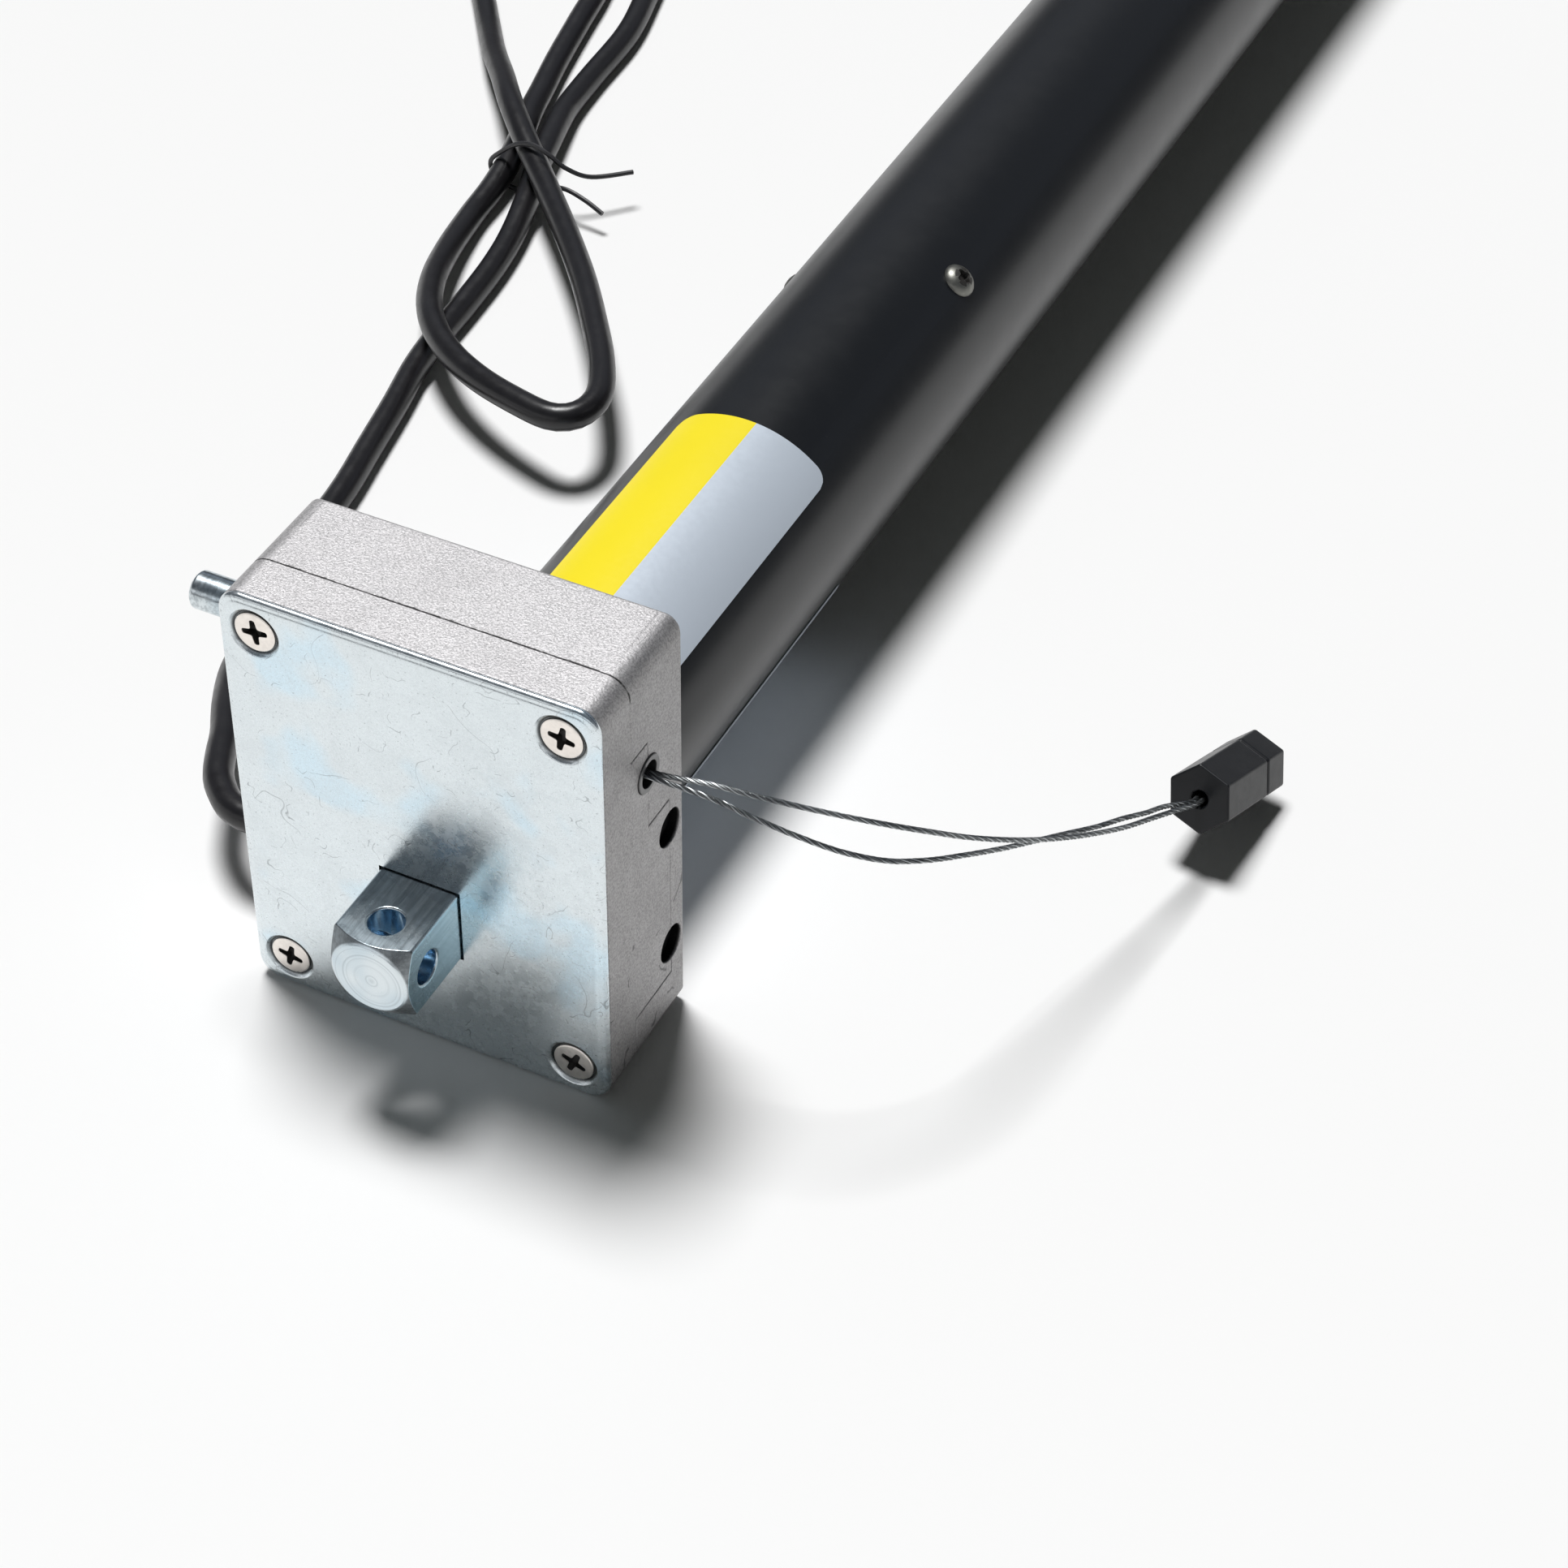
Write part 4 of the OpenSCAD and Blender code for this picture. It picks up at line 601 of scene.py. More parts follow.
CORD_ROUTE = [
    (-52.5, 32, -15.4), (-55.5, 33, -15.6), (-58.5, 35, -15.9), (-63, 39.5, -16.3),
    (-66.5, 45.5, -17), (-70, 52.5, -18), (-76, 62, -20.4), (-82.5, 74, -24),
    (-87.5, 87, -27.4), (-91, 99.5, -28.9), (-94, 112, -29.2), (-96, 124, -29.2),
    (-98, 141.5, -29.2), (-101, 157.5, -29.2), (-104, 173.5, -29.2), (-107, 187.5, -29.2),
    (-108.5, 199.5, -29.2), (-109.5, 214.5, -29.2), (-111, 230.5, -29.1), (-113.5, 244.5, -28.8),
    (-117.5, 259.5, -28), (-121.5, 271.5, -27.4), (-124, 281, -27.4), (-127, 292, -28),
    (-129, 301, -28.8), (-130.5, 315.5, -29.2), (-132, 336.5, -29.2), (-136, 354.5, -29.2),
    (-142, 374, -29.2), (-152, 392, -29.2), (-167, 403, -29.2), (-184, 401, -29.2),
    (-195, 388, -29.2), (-194, 371, -29.2), (-186, 354, -29.2), (-174, 336.5, -28.9),
    (-164, 322, -27.8), (-155, 309, -25.6), (-145, 296, -22.8), (-136, 284, -20.8),
    (-126, 272.5, -20.6), (-113, 259, -22),
    (-97, 241, -21), (-83, 224, -19.6), (-71, 207.5, -18.2),
    (-62, 194, -17), (-56.5, 182.5, -16.4), (-57, 174.5, -16.3), (-62, 171, -16.4),
    (-71.5, 173, -17), (-85, 178.5, -18.4), (-97.5, 186.5, -19.8),
    (-108.5, 198, -21.4), (-117, 213, -24.4), (-122.5, 229, -27.2), (-126, 246, -28.8),
    (-127, 258, -28.4), (-128.5, 269.5, -27.4), (-131.5, 281, -27.4), (-135.5, 293, -28.2),
    (-138.5, 304, -29), (-142, 318, -29.2), (-146, 337, -29.2), (-149, 352, -29.2),
    (-153, 366, -29.2), (-159, 379, -29.2)]
TIE_ROUTE = [
    (-97, 274.6, -24), (-104.3, 267, -23.2), (-109.5, 264, -20.6), (-113.6, 263.6, -18),
    (-118.5, 264.3, -16.9), (-123.5, 265.2, -18.6), (-128.7, 266.1, -22.8), (-132.1, 266.8, -26.8),
    (-131.2, 266.6, -30.3), (-127.8, 266, -31.6), (-122.5, 265, -31.65), (-117.8, 264, -31.6),
    (-114.4, 263.3, -29.6), (-112.6, 262.4, -26.2), (-108.2, 261.6, -24.8), (-102.5, 260.8, -25.8),
    (-97.5, 259.8, -27.4)]


def smooth_line(points, steps):
    """A smooth curve through points, as in the part's source."""
    p = [Vector(q) for q in points]
    line = []
    for i in range(len(p) - 1):
        a, b, c, d = p[max(i - 1, 0)], p[i], p[i + 1], p[min(i + 2, len(p) - 1)]
        for k in range(steps):
            t = k / steps
            line.append(0.5 * (2 * b + (c - a) * t + (2 * a - 5 * b + 4 * c - d) * t * t
                               + (3 * b - a - 3 * c + d) * t ** 3))
    return line + [p[-1]]


def even_line(points, count):
    """As many points as asked, spaced evenly along a line."""
    runs = [0.0]
    for a, b in zip(points, points[1:]):
        runs.append(runs[-1] + (b - a).length)
    line, i = [], 0
    for k in range(count):
        at = runs[-1] * k / (count - 1)
        while i < len(points) - 2 and runs[i + 1] < at:
            i += 1
        span = runs[i + 1] - runs[i]
        line.append(points[i].lerp(points[i + 1], (at - runs[i]) / span if span > 0 else 0.0))
    return line


def line_length(points):
    return sum((b - a).length for a, b in zip(points, points[1:]))


def pull_point(x, y, z=0.0):
    """A point in the pull handle's own frame, in the model's."""
    return PULL_FACE + PULL_LEAN @ Vector((x, y, z))


def wire_route():
    """The release wire from the ferrule through the pull handle and back."""
    half = STRAND_GAP / 2
    side = Vector((0, half, 0))
    deep = PULL_HOLE - 2.5
    start = [Vector((FERRULE_X + x, WIRE_Y, WIRE_Z)) for x in (-2.8, 2)]
    turn = [pull_point(half * math.cos(a), deep + half * math.sin(a))
            for a in (math.radians(45 * k) for k in range(5))]
    out = [p + side for p in start] + [Vector(p) + side for p in WIRE_OUT]
    back = [Vector(p) - side for p in WIRE_BACK] + [p - side for p in reversed(start)]
    return (out + [pull_point(half, -3), pull_point(half, 1)] + turn
            + [pull_point(-half, 1), pull_point(-half, -3)] + back)


def frames_along(points):
    """Two side directions at each point, carried without twist."""
    carried = Vector((0.1, 0.2, 1.0))
    made = []
    for i in range(len(points)):
        heading = (points[min(i + 1, len(points) - 1)] - points[max(i - 1, 0)]).normalized()
        carried = (carried - heading * carried.dot(heading)).normalized()
        made.append((carried.copy(), heading.cross(carried)))
    return made


def tube_along(name, points, radius, sides):
    """A round tube along points in metres."""
    angles = [2 * math.pi * k / sides for k in range(sides)]
    return stacked(name, [[p + radius * (math.cos(a) * u + math.sin(a) * v) for a in angles]
                          for p, (u, v) in zip(points, frames_along(points))])


# Operators


def sizes():
    return bpy.context.scene.motor_sizes


def colours():
    return bpy.context.scene.motor_colours


# Focal length and picture centre, solved from the photographed box; the sensor is 36 mm wide
FOCAL_MM = 82.87
SHIFT = (0.0064, 0.0110)
CAMERA_PLACE = (0.2571, -0.3776, 0.4579)
CAMERA_RIGHT = (0.89629, 0.44331, 0.01197)
CAMERA_DOWN = (0.30957, -0.60611, -0.73267)
CAMERA_AHEAD = (-0.31754, 0.66039, -0.68048)


class OBJECT_OT_motor_camera(bpy.types.Operator):
    """Places the camera at the photograph's viewing angle"""

    bl_idname = "object.motor_camera"
    bl_label = "Camera"

    def execute(self, context):
        data = bpy.data.cameras.new("camera")
        data.sensor_width = 36.0
        data.lens = FOCAL_MM
        data.shift_x, data.shift_y = SHIFT
        data.clip_start, data.clip_end = 0.01, 50.0
        camera = placed("camera", data)
        turn = Matrix((Vector(CAMERA_RIGHT), -Vector(CAMERA_DOWN), -Vector(CAMERA_AHEAD)))
        camera.matrix_world = Matrix.Translation(CAMERA_PLACE) @ turn.transposed().to_4x4()
        context.scene.camera = camera
        return {"FINISHED"}


class OBJECT_OT_motor_power_cord(bpy.types.Operator):
    """Lays the power cord with its gland, cores and twist tie"""

    bl_idname = "object.motor_power_cord"
    bl_label = "Power cord"

    def execute(self, context):
        s, c = sizes(), colours()
        line = [p * MM for p in [RELIEF_TIP] + even_line(smooth_line(CORD_ROUTE, 12), CORD_POINTS)]
        data = bpy.data.curves.new("power_lead", "CURVE")
        data.dimensions = "3D"
        spline = data.splines.new("POLY")
        spline.points.add(len(line) - 1)
        for point, place in zip(spline.points, line):
            point.co = (*place, 1.0)
        data.bevel_depth = s.cord_diameter / 2
        data.bevel_resolution = 6
        data.use_fill_caps = True
        spline.use_smooth = True
        jacket = moulded("cord_jacket", c.cord, 0.28, 0.38, 0.0005, 0.000010)
        data.materials.append(jacket)
        lead = placed("power_lead", data)
        fit_out(lead, "power_cord")
        paint("cord_relief", jacket)
        paint("cord_cores", moulded("core_insulation", (0.10, 0.18, 0.45), 0.4, 0.5, 0.0004, 0.000005))
        tie_line = [p * MM for p in smooth_line(TIE_ROUTE, 8)]
        tie_mesh = tube_along("tie_wire", tie_line, s.tie_diameter / 2, 8)
        tie_finish = moulded("tie_jacket", (0.03, 0.03, 0.033), 0.35, 0.5, 0.0003, 0.00001)
        tie = new_piece("tie_wire", tie_mesh, [tie_finish])
        smooth_by_angle(tie_mesh, 40)
        fit_out(tie, "twist_tie")
        return {"FINISHED"}


class OBJECT_OT_motor_release_wire(bpy.types.Operator):
    """Twists the release wire from its strands and puts the pull handle on it"""

    bl_idname = "object.motor_release_wire"
    bl_label = "Release wire"

    def execute(self, context):
        s, c = sizes(), colours()
        line = even_line([p * MM for p in smooth_line(wire_route(), 10)], WIRE_POINTS)
        step = line_length(line) / (len(line) - 1)
        strand_r = s.wire_diameter / 2 / (1 + 1 / math.sin(math.pi / s.strands))
        centre_r = s.wire_diameter / 2 - strand_r
        across = frames_along(line)
        work = bmesh.new()
        for k in range(s.strands):
            strand = []
            for i, (p, (u, v)) in enumerate(zip(line, across)):
                a = 2 * math.pi * (k / s.strands + i * step / s.wire_lay)
                strand.append(p + centre_r * (math.cos(a) * u + math.sin(a) * v))
            first = len(work.faces)
            work.from_mesh(tube_along("strand", strand, strand_r * STRAND_FIT, 6))
            work.faces.ensure_lookup_table()
            for face in work.faces[first:]:
                face.material_index = k % 2
        work.from_mesh(tube_along("core", line[::3] + [line[-1]], centre_r * 0.5, 6))
        mesh = bpy.data.meshes.new("twisted_wire")
        work.to_mesh(mesh)
        work.free()
        steel = satin_steel("wire_steel", c.wire, 0.28, 0.42, 0.0003)
        # Painted shade: every other strand takes a darkened copy of the steel
        wear_and_shade = satin_steel("worn_wire_steel", shade(c.wire, 0.42), 0.34, 0.5, 0.0003)
        rope = new_piece("twisted_wire", mesh, [steel, wear_and_shade])
        smooth_by_angle(mesh, 50)
        fit_out(rope, "release_wire")
        handle = self.handle(moulded("pull_plastic", c.pull, 0.30, 0.38, 0.0004, 0.000010, 0.35))
        paint("wire_ferrule", steel)
        return {"FINISHED"}

    def handle(self, finish):
        """The hexagonal pull handle with soft edges and a groove near its far end."""
        soft = sizes().pull_round / MM
        rings = []
        for inset, y in PULL_SECTION:
            corner = (PULL_FLATS / 2 - inset - soft) / math.cos(math.radians(30))
            ring = []
            for k in range(6):
                middle = PULL_ROLL + 60 * k
                a = math.radians(middle)
                centre = (corner * math.cos(a), corner * math.sin(a))
                ring += [pull_point(x, y, -z) * MM
                         for x, z in arc(centre, soft, middle - 30, middle + 30, 5)]
            rings.append(ring)
        piece = new_piece("pull_grip", stacked("pull_grip", rings), [finish])
        drill = turned("drill", PULL_DRILL, steps=40)
        for vertex in drill.vertices:
            vertex.co = pull_point(*vertex.co) * MM
        carve(piece, drill)
        smooth_by_angle(piece.data, 34)
        settle(piece)
        return fit_out(piece, "pull_handle")


# Section of the plate's rolled edge: parts of its reach and of its depth
PLATE_ROLL = ((1.0, 0.0), (0.86, 0.012), (0.74, 0.045), (0.64, 0.10), (0.57, 0.17), (0.50, 0.205),
              (0.40, 0.22), (0.29, 0.27), (0.19, 0.36), (0.10, 0.50), (0.04, 0.68), (0.01, 0.86),
              (0.0, 1.0))
PLATE_BACK_INSET = 0.00012
# Section of a screw dimple's lip, from its rim inwards and into the plate, in millimetres
DIMPLE_LIP = ((-0.2, -0.02), (0.0, 0.02), (0.10, 0.07), (0.22, 0.18), (0.38, 0.34), (0.56, 0.5),
              (0.70, 0.60), (0.82, 0.70), (0.85, 0.8))
# Radii of the countersink under the lip and of the clearance hole, in millimetres
SINK_R, CLEAR_R = 4.13, 2.03


class OBJECT_OT_motor_cover_plate(bpy.types.Operator):
    """Makes the cover plate with its rounded edge and screw dimples"""

    bl_idname = "object.motor_cover_plate"
    bl_label = "Cover plate"

    def execute(self, context):
        s = sizes()
        finish = zinc_sheet(colours())
        section = [(s.plate_round * x, PLATE_LOW.y + s.plate_roll * h) for x, h in PLATE_ROLL]
        rings = []
        for inset, y in section + [(PLATE_BACK_INSET, PLATE_HIGH.y)]:
            outline = round_outline((PLATE_LOW.x + inset, PLATE_LOW.z + inset),
                                    (PLATE_HIGH.x - inset, PLATE_HIGH.z - inset), HEAD_CORNER - inset, 10)
            rings.append([(x, y, z) for x, z in outline])
        plate = new_piece("front_plate", stacked("front_plate", rings), [finish])
        carve(plate, square_bar("hole", STUB_HALF + s.seam, PLATE_LOW.y - MM, PLATE_HIGH.y + MM))
        for place in screw_places():
            carve(plate, self.dimple(place))
        cover(plate.data, finish)
        smooth_by_angle(plate.data, 28)
        settle(plate)
        fit_out(plate, "cover_plate")
        return {"FINISHED"}

    def dimple(self, centre):
        """The cutter of one countersunk dimple with a soft lip."""
        face, back, rim = PLATE_LOW.y, PLATE_HIGH.y, sizes().dimple_reach
        lip = [(rim - r * MM, face + y * MM) for r, y in DIMPLE_LIP]
        profile = [(0, face - MM), (rim + 0.2 * MM, face - MM), *lip, (SINK_R * MM, face + 0.8 * MM),
                   (CLEAR_R * MM, back + 0.9 * MM), (CLEAR_R * MM, back + MM), (0, back + MM)]
        return turned("dimple", profile, centre, 72)


def screw_places():
    """Centres of the cover screws in X and Z."""
    low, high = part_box("cover_screws")
    head = 4.1 * MM
    return [(x, z) for x in (low.x + head, high.x - head) for z in (low.z + head, high.z - head)]


class OBJECT_OT_motor_castings(bpy.types.Operator):
    """Rounds the edges of the two castings and gives them their sand texture"""

    bl_idname = "object.motor_castings"
    bl_label = "Castings"

    def execute(self, context):
        cast = sand_casting(colours())
        for name, node in (("front_casting", "front_housing"), ("rear_casting", "rear_housing")):
            softened(name, node, sizes().cast_round, cast, 30, on_outline)
        return {"FINISHED"}


# Half the profile of a cross hole with its soft rim: radius and distance from the middle, in
# millimetres
STUB_DRILL = ((0, 9), (STUB_HOLE + 0.9, 9), (STUB_HOLE + 0.42, 8.02), (STUB_HOLE + 0.12, 7.8),
              (STUB_HOLE, 7.4))
CONE_SLOPE = 0.68


class OBJECT_OT_motor_stub(bpy.types.Operator):
    """Makes the square stub with its turned end and cross holes, and rounds the crank shaft"""

    bl_idname = "object.motor_stub"
    bl_label = "Stub and crank"

    def execute(self, context):
        s = sizes()
        bright = machined_zinc(colours())
        front, back = STUB_LOW.y, STUB_HIGH.y
        outline = round_outline((-STUB_HALF, -STUB_HALF), (STUB_HALF, STUB_HALF), s.stub_corner, 6)
        rings = [[(x, y, z) for x, z in outline] for y in (front, back)]
        bar = new_piece("square_stub", stacked("square_stub", rings), [bright])
        wide = STUB_HALF * math.sqrt(2) + 0.1 * MM
        cone = [(0, front), (s.stub_end, front), (wide, front + (wide - s.stub_end) * CONE_SLOPE),
                (wide, back), (0, back)]
        carve(bar, turned("cone", cone, steps=120), "INTERSECT")
        profile = ([(r * MM, -y * MM) for r, y in STUB_DRILL]
                   + [(r * MM, y * MM) for r, y in reversed(STUB_DRILL)])
        for axis in "XZ":
            drill = turned("drill", profile)
            drill.transform(Matrix.Rotation(math.pi / 2, 4, axis))
            carve(bar, drill)
        carve(bar, square_bar("flange", (STUB_HIGH.x - STUB_LOW.x) / 2, PLATE_HIGH.y, back), "UNION")
        cover(bar.data, bright)
        bevelled(bar, s.stub_round, 2, 28, "ANGLE", False)
        fit_out(bar, "mounting_stub")
        softened("crank_rod", "crank_shaft", 0.00025, bright, 30)
        return {"FINISHED"}


# Profiles of the two screws, radius and distance from the head's top, in millimetres
FLAT_HEAD = ((0, 0), (3.75, 0), (3.95, 0.04), (4.08, 0.14), (4.1, 0.4), (2.02, 2.45), (2.0, 6),
             (2.0, 22.5), (1.6, 22.9), (0, 22.9))
PAN_HEAD = ((0, 0), (1.2, 0.12), (2.3, 0.5), (3.2, 1.1), (3.7, 1.75), (3.8, 2.2), (2.0, 2.28),
            (2.0, 10), (0, 10))
FLAT_TURNS = (12, -8, 24, 10)
FIRST_PAN, PAN_RISE = 39.2, 2.08
# A cross recess from above the head to its floor: depth in millimetres, then the arms' reach and
# width as parts of those in the face
RECESS = ((-0.5, 1.04, 1.1), (0.12, 1.0, 0.98), (1.3, 0.62, 0.66))
ARM_HALF, RECESS_FILLET = 0.68, 0.4


class OBJECT_OT_motor_screws(bpy.types.Operator):
    """Places the cover screws and the tube screws with Geometry Nodes"""

    bl_idname = "object.motor_screws"
    bl_label = "Screws"

    def execute(self, context):
        steel = satin_steel("screw_nickel", colours().screw, 0.32, 0.46, 0.0004)
        blackened = satin_steel("tube_screw_steel", (0.22, 0.22, 0.20), 0.36, 0.5, 0.0004)
        # Painted shade: the cross recesses take a near black finish
        recess_shade = moulded("recess_dirt", (0.02, 0.018, 0.016), 0.5, 0.7, 0.0003, 0.00002)
        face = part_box("cover_screws")[0].y
        flat = screw_mesh("flat_head", FLAT_HEAD, 5.0, steel)
        places = [Matrix.Translation((x, face, z)) @ Matrix.Rotation(math.radians(turn), 4, "Y")
                  for (x, z), turn in zip(screw_places(), FLAT_TURNS)]
        fit_out(scattered("flat_head_screws", flat, places, steel, recess_shade), "cover_screws")
        pan = screw_mesh("pan_head", PAN_HEAD, 3.8, blackened)
        middle = sum(b.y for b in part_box("tube_screws")) / 2
        ring = []
        rise = Matrix.Translation((0, 0, TUBE_R + PAN_RISE * MM))
        inwards = Matrix.Rotation(math.radians(-90), 4, "X")
        for k in range(3):
            lean = Matrix.Rotation(math.radians(FIRST_PAN + 120 * k), 4, "Y")
            head = Matrix.Translation((0, middle, 0)) @ lean @ rise
            ring.append(head @ inwards @ Matrix.Rotation(0.5 * k + 0.3, 4, "Y"))
        fit_out(scattered("pan_head_screws", pan, ring, blackened, recess_shade), "tube_screws")
        for sample in (flat, pan):
            bpy.data.objects.remove(sample)
        return {"FINISHED"}


def cross_outline(reach, wide, fillet):
    """A cross with rounded inner corners and arm ends, in X and Z."""
    tip = arc((reach - wide * 0.8, 0), wide, -52, 52, 4)
    bend = arc((wide + fillet, wide + fillet), fillet, 260, 190, 4)
    points = []
    for turn in (0, 90, 180, 270):
        c, s = math.cos(math.radians(turn)), math.sin(math.radians(turn))
        points += [(x * c - z * s, x * s + z * c) for x, z in tip + bend]
    return points


def screw_mesh(name, profile, cross, steel):
    """One screw along +Y with its head's top at the origin, and a cross recess marked for painted shade.
    """
    body = new_piece(name, turned(name, [(r * MM, y * MM) for r, y in profile], steps=48), [steel])
    rings = []
    for y, part, thin in RECESS:
        outline = cross_outline(cross / 2 * part, ARM_HALF * thin, RECESS_FILLET * part)
        rings.append([(x * MM, y * MM, z * MM) for x, z in outline])
    carve(body, stacked("cross", rings))
    mesh = body.data
    top, floor = RECESS[1][0] * MM, (RECESS[2][0] + 0.2) * MM
    recess = mesh.attributes.new("recess", "BOOLEAN", "FACE")
    for polygon, mark in zip(mesh.polygons, recess.data):
        near = math.hypot(polygon.center.x, polygon.center.z) < cross / 2 * MM
        mark.value = near and top < polygon.center.y < floor
    smooth_by_angle(mesh, 30)
    return body


def scattered(name, sample, places, steel, recess_shade):
    """Copies of a sample at places, made by a Geometry Nodes tree and turned into a plain mesh."""
    group = bpy.data.node_groups.new(name + "_tree", "GeometryNodeTree")
    group.is_modifier = True
    for label, kind, way in (("Geometry", "Geometry", "INPUT"), ("Screw", "Object", "INPUT"),
                             ("Steel", "Material", "INPUT"), ("Recess dirt", "Material", "INPUT"),
                             ("Geometry", "Geometry", "OUTPUT")):
        group.interface.new_socket(label, in_out=way, socket_type="NodeSocket" + kind)
    tree = Nodes(group)
    source = tree.node("NodeGroupInput").outputs
    screw = tree.node("GeometryNodeObjectInfo", ("Object", source["Screw"]))
    turn = tree.node("GeometryNodeInputNamedAttribute", ("Name", "turn"), data_type="FLOAT_VECTOR")
    recess = tree.node("GeometryNodeInputNamedAttribute", ("Name", "recess"), data_type="BOOLEAN")
    copies = tree.node("GeometryNodeInstanceOnPoints", ("Points", source["Geometry"]),
                       ("Instance", screw.outputs["Geometry"]), ("Rotation", turn.outputs["Attribute"]))
    real = tree.node("GeometryNodeRealizeInstances", ("Geometry", copies.outputs["Instances"]))
    whole = tree.node("GeometryNodeSetMaterial", ("Geometry", real.outputs["Geometry"]),
                      ("Material", source["Steel"]))
    inside = tree.node("GeometryNodeSetMaterial", ("Geometry", whole.outputs["Geometry"]),
                       ("Selection", recess.outputs["Attribute"]), ("Material", source["Recess dirt"]))
    tree.node("NodeGroupOutput", ("Geometry", inside.outputs["Geometry"]))
    carrier = mesh_of(name, [p.to_translation() for p in places], [])
    attribute = carrier.attributes.new("turn", "FLOAT_VECTOR", "POINT")
    for item, place in zip(attribute.data, places):
        item.vector = place.to_euler()
    piece = new_piece(name, carrier)
    modifier = piece.modifiers.new("copies", "NODES")
    modifier.node_group = group
    given = {"Screw": sample, "Steel": steel, "Recess dirt": recess_shade}
    for item in group.interface.items_tree:
        if item.item_type == "SOCKET" and item.in_out == "INPUT" and item.name in given:
            modifier[item.identifier] = given[item.name]
    piece.update_tag()
    bpy.context.view_layer.update()
    return applied(piece)


# The films' stripes, in degrees round the tube from its top
YELLOW_FROM, SILVER_FROM, SILVER_TO = -34.0, 6.0, 50.0
# The underside film's stripe from UNDER_FROM to UNDER_BRIGHT is painted shade
UNDER_FROM, UNDER_BRIGHT, UNDER_TO = 108.0, 114.0, 255.0
FILM_GAP, FILM_THICK = 0.00006, 0.00012


class OBJECT_OT_motor_tube(bpy.types.Operator):
    """Gives the motor tube its satin paint and sticks the bare films on it"""

    bl_idname = "object.motor_tube"
    bl_label = "Tube and films"

    def execute(self, context):
        c = colours()
        softened("outer_tube", "motor_tube", sizes().tube_round, satin_paint(c), 40)
        yellow = printed_film("yellow_film", c.film_yellow)
        silver = printed_film("silver_film", c.film_silver, 0.25)
        # Painted shade: the underside film's first stripe is a darkened copy of the silver
        shaded_silver = printed_film("dull_film", shade(c.film_silver, 0.55), 0.2)
        film("striped_film", "top_label", 3.5 * MM,
             [(YELLOW_FROM, SILVER_FROM, yellow), (SILVER_FROM, SILVER_TO, silver)])
        film("plain_film", "underside_label", 2.0 * MM,
             [(UNDER_FROM, UNDER_BRIGHT, shaded_silver), (UNDER_BRIGHT, UNDER_TO, silver)])
        return {"FINISHED"}


def film(name, node, corner, stripes):
    """A thin film bent round the tube, with round far corners, in stripes between angles."""
    start, stop = (b.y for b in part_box(node))
    inner = TUBE_R + FILM_GAP
    outer = inner + FILM_THICK
    first, last = stripes[0][0], stripes[-1][1]
    edges = {first + (last - first) * k / 72 for k in range(73)}
    edges = sorted(edges | {a for stripe in stripes for a in stripe[:2]})
    edges = [e for i, e in enumerate(edges) if i == 0 or e - edges[i - 1] > 0.05]
    work = bmesh.new()
    columns = []
    for angle in edges:
        a = math.radians(angle)
        off = min(math.radians(angle - first), math.radians(last - angle)) * outer
        gap = max(corner - off, 0.0)
        end = stop - corner + math.sqrt(max(corner ** 2 - gap ** 2, 0.0))
        columns.append([[work.verts.new((r * math.sin(a), start + (end - start) * t / 6, r * math.cos(a)))
                         for t in range(7)] for r in (inner, outer)])
    for i, (here, there) in enumerate(zip(columns, columns[1:])):
        middle = (edges[i] + edges[i + 1]) / 2
        index = next(k for k, (low, high, _) in enumerate(stripes) if low <= middle <= high)
        quads = [(a[k], b[k], b[k + 1], a[k + 1]) for a, b in zip(here, there) for k in range(6)]
        quads += [(here[0][k], there[0][k], there[1][k], here[1][k]) for k in (0, 6)]
        for quad in quads:
            work.faces.new(quad).material_index = index
    for under, over in (columns[0], columns[-1]):
        for k in range(6):
            work.faces.new((under[k], over[k], over[k + 1], under[k + 1]))
    bmesh.ops.recalc_face_normals(work, faces=work.faces)
    mesh = bpy.data.meshes.new(name)
    work.to_mesh(mesh)
    work.free()
    piece = new_piece(name, mesh, [finish for _, _, finish in stripes])
    smooth_by_angle(mesh, 40)
    return fit_out(piece, node)


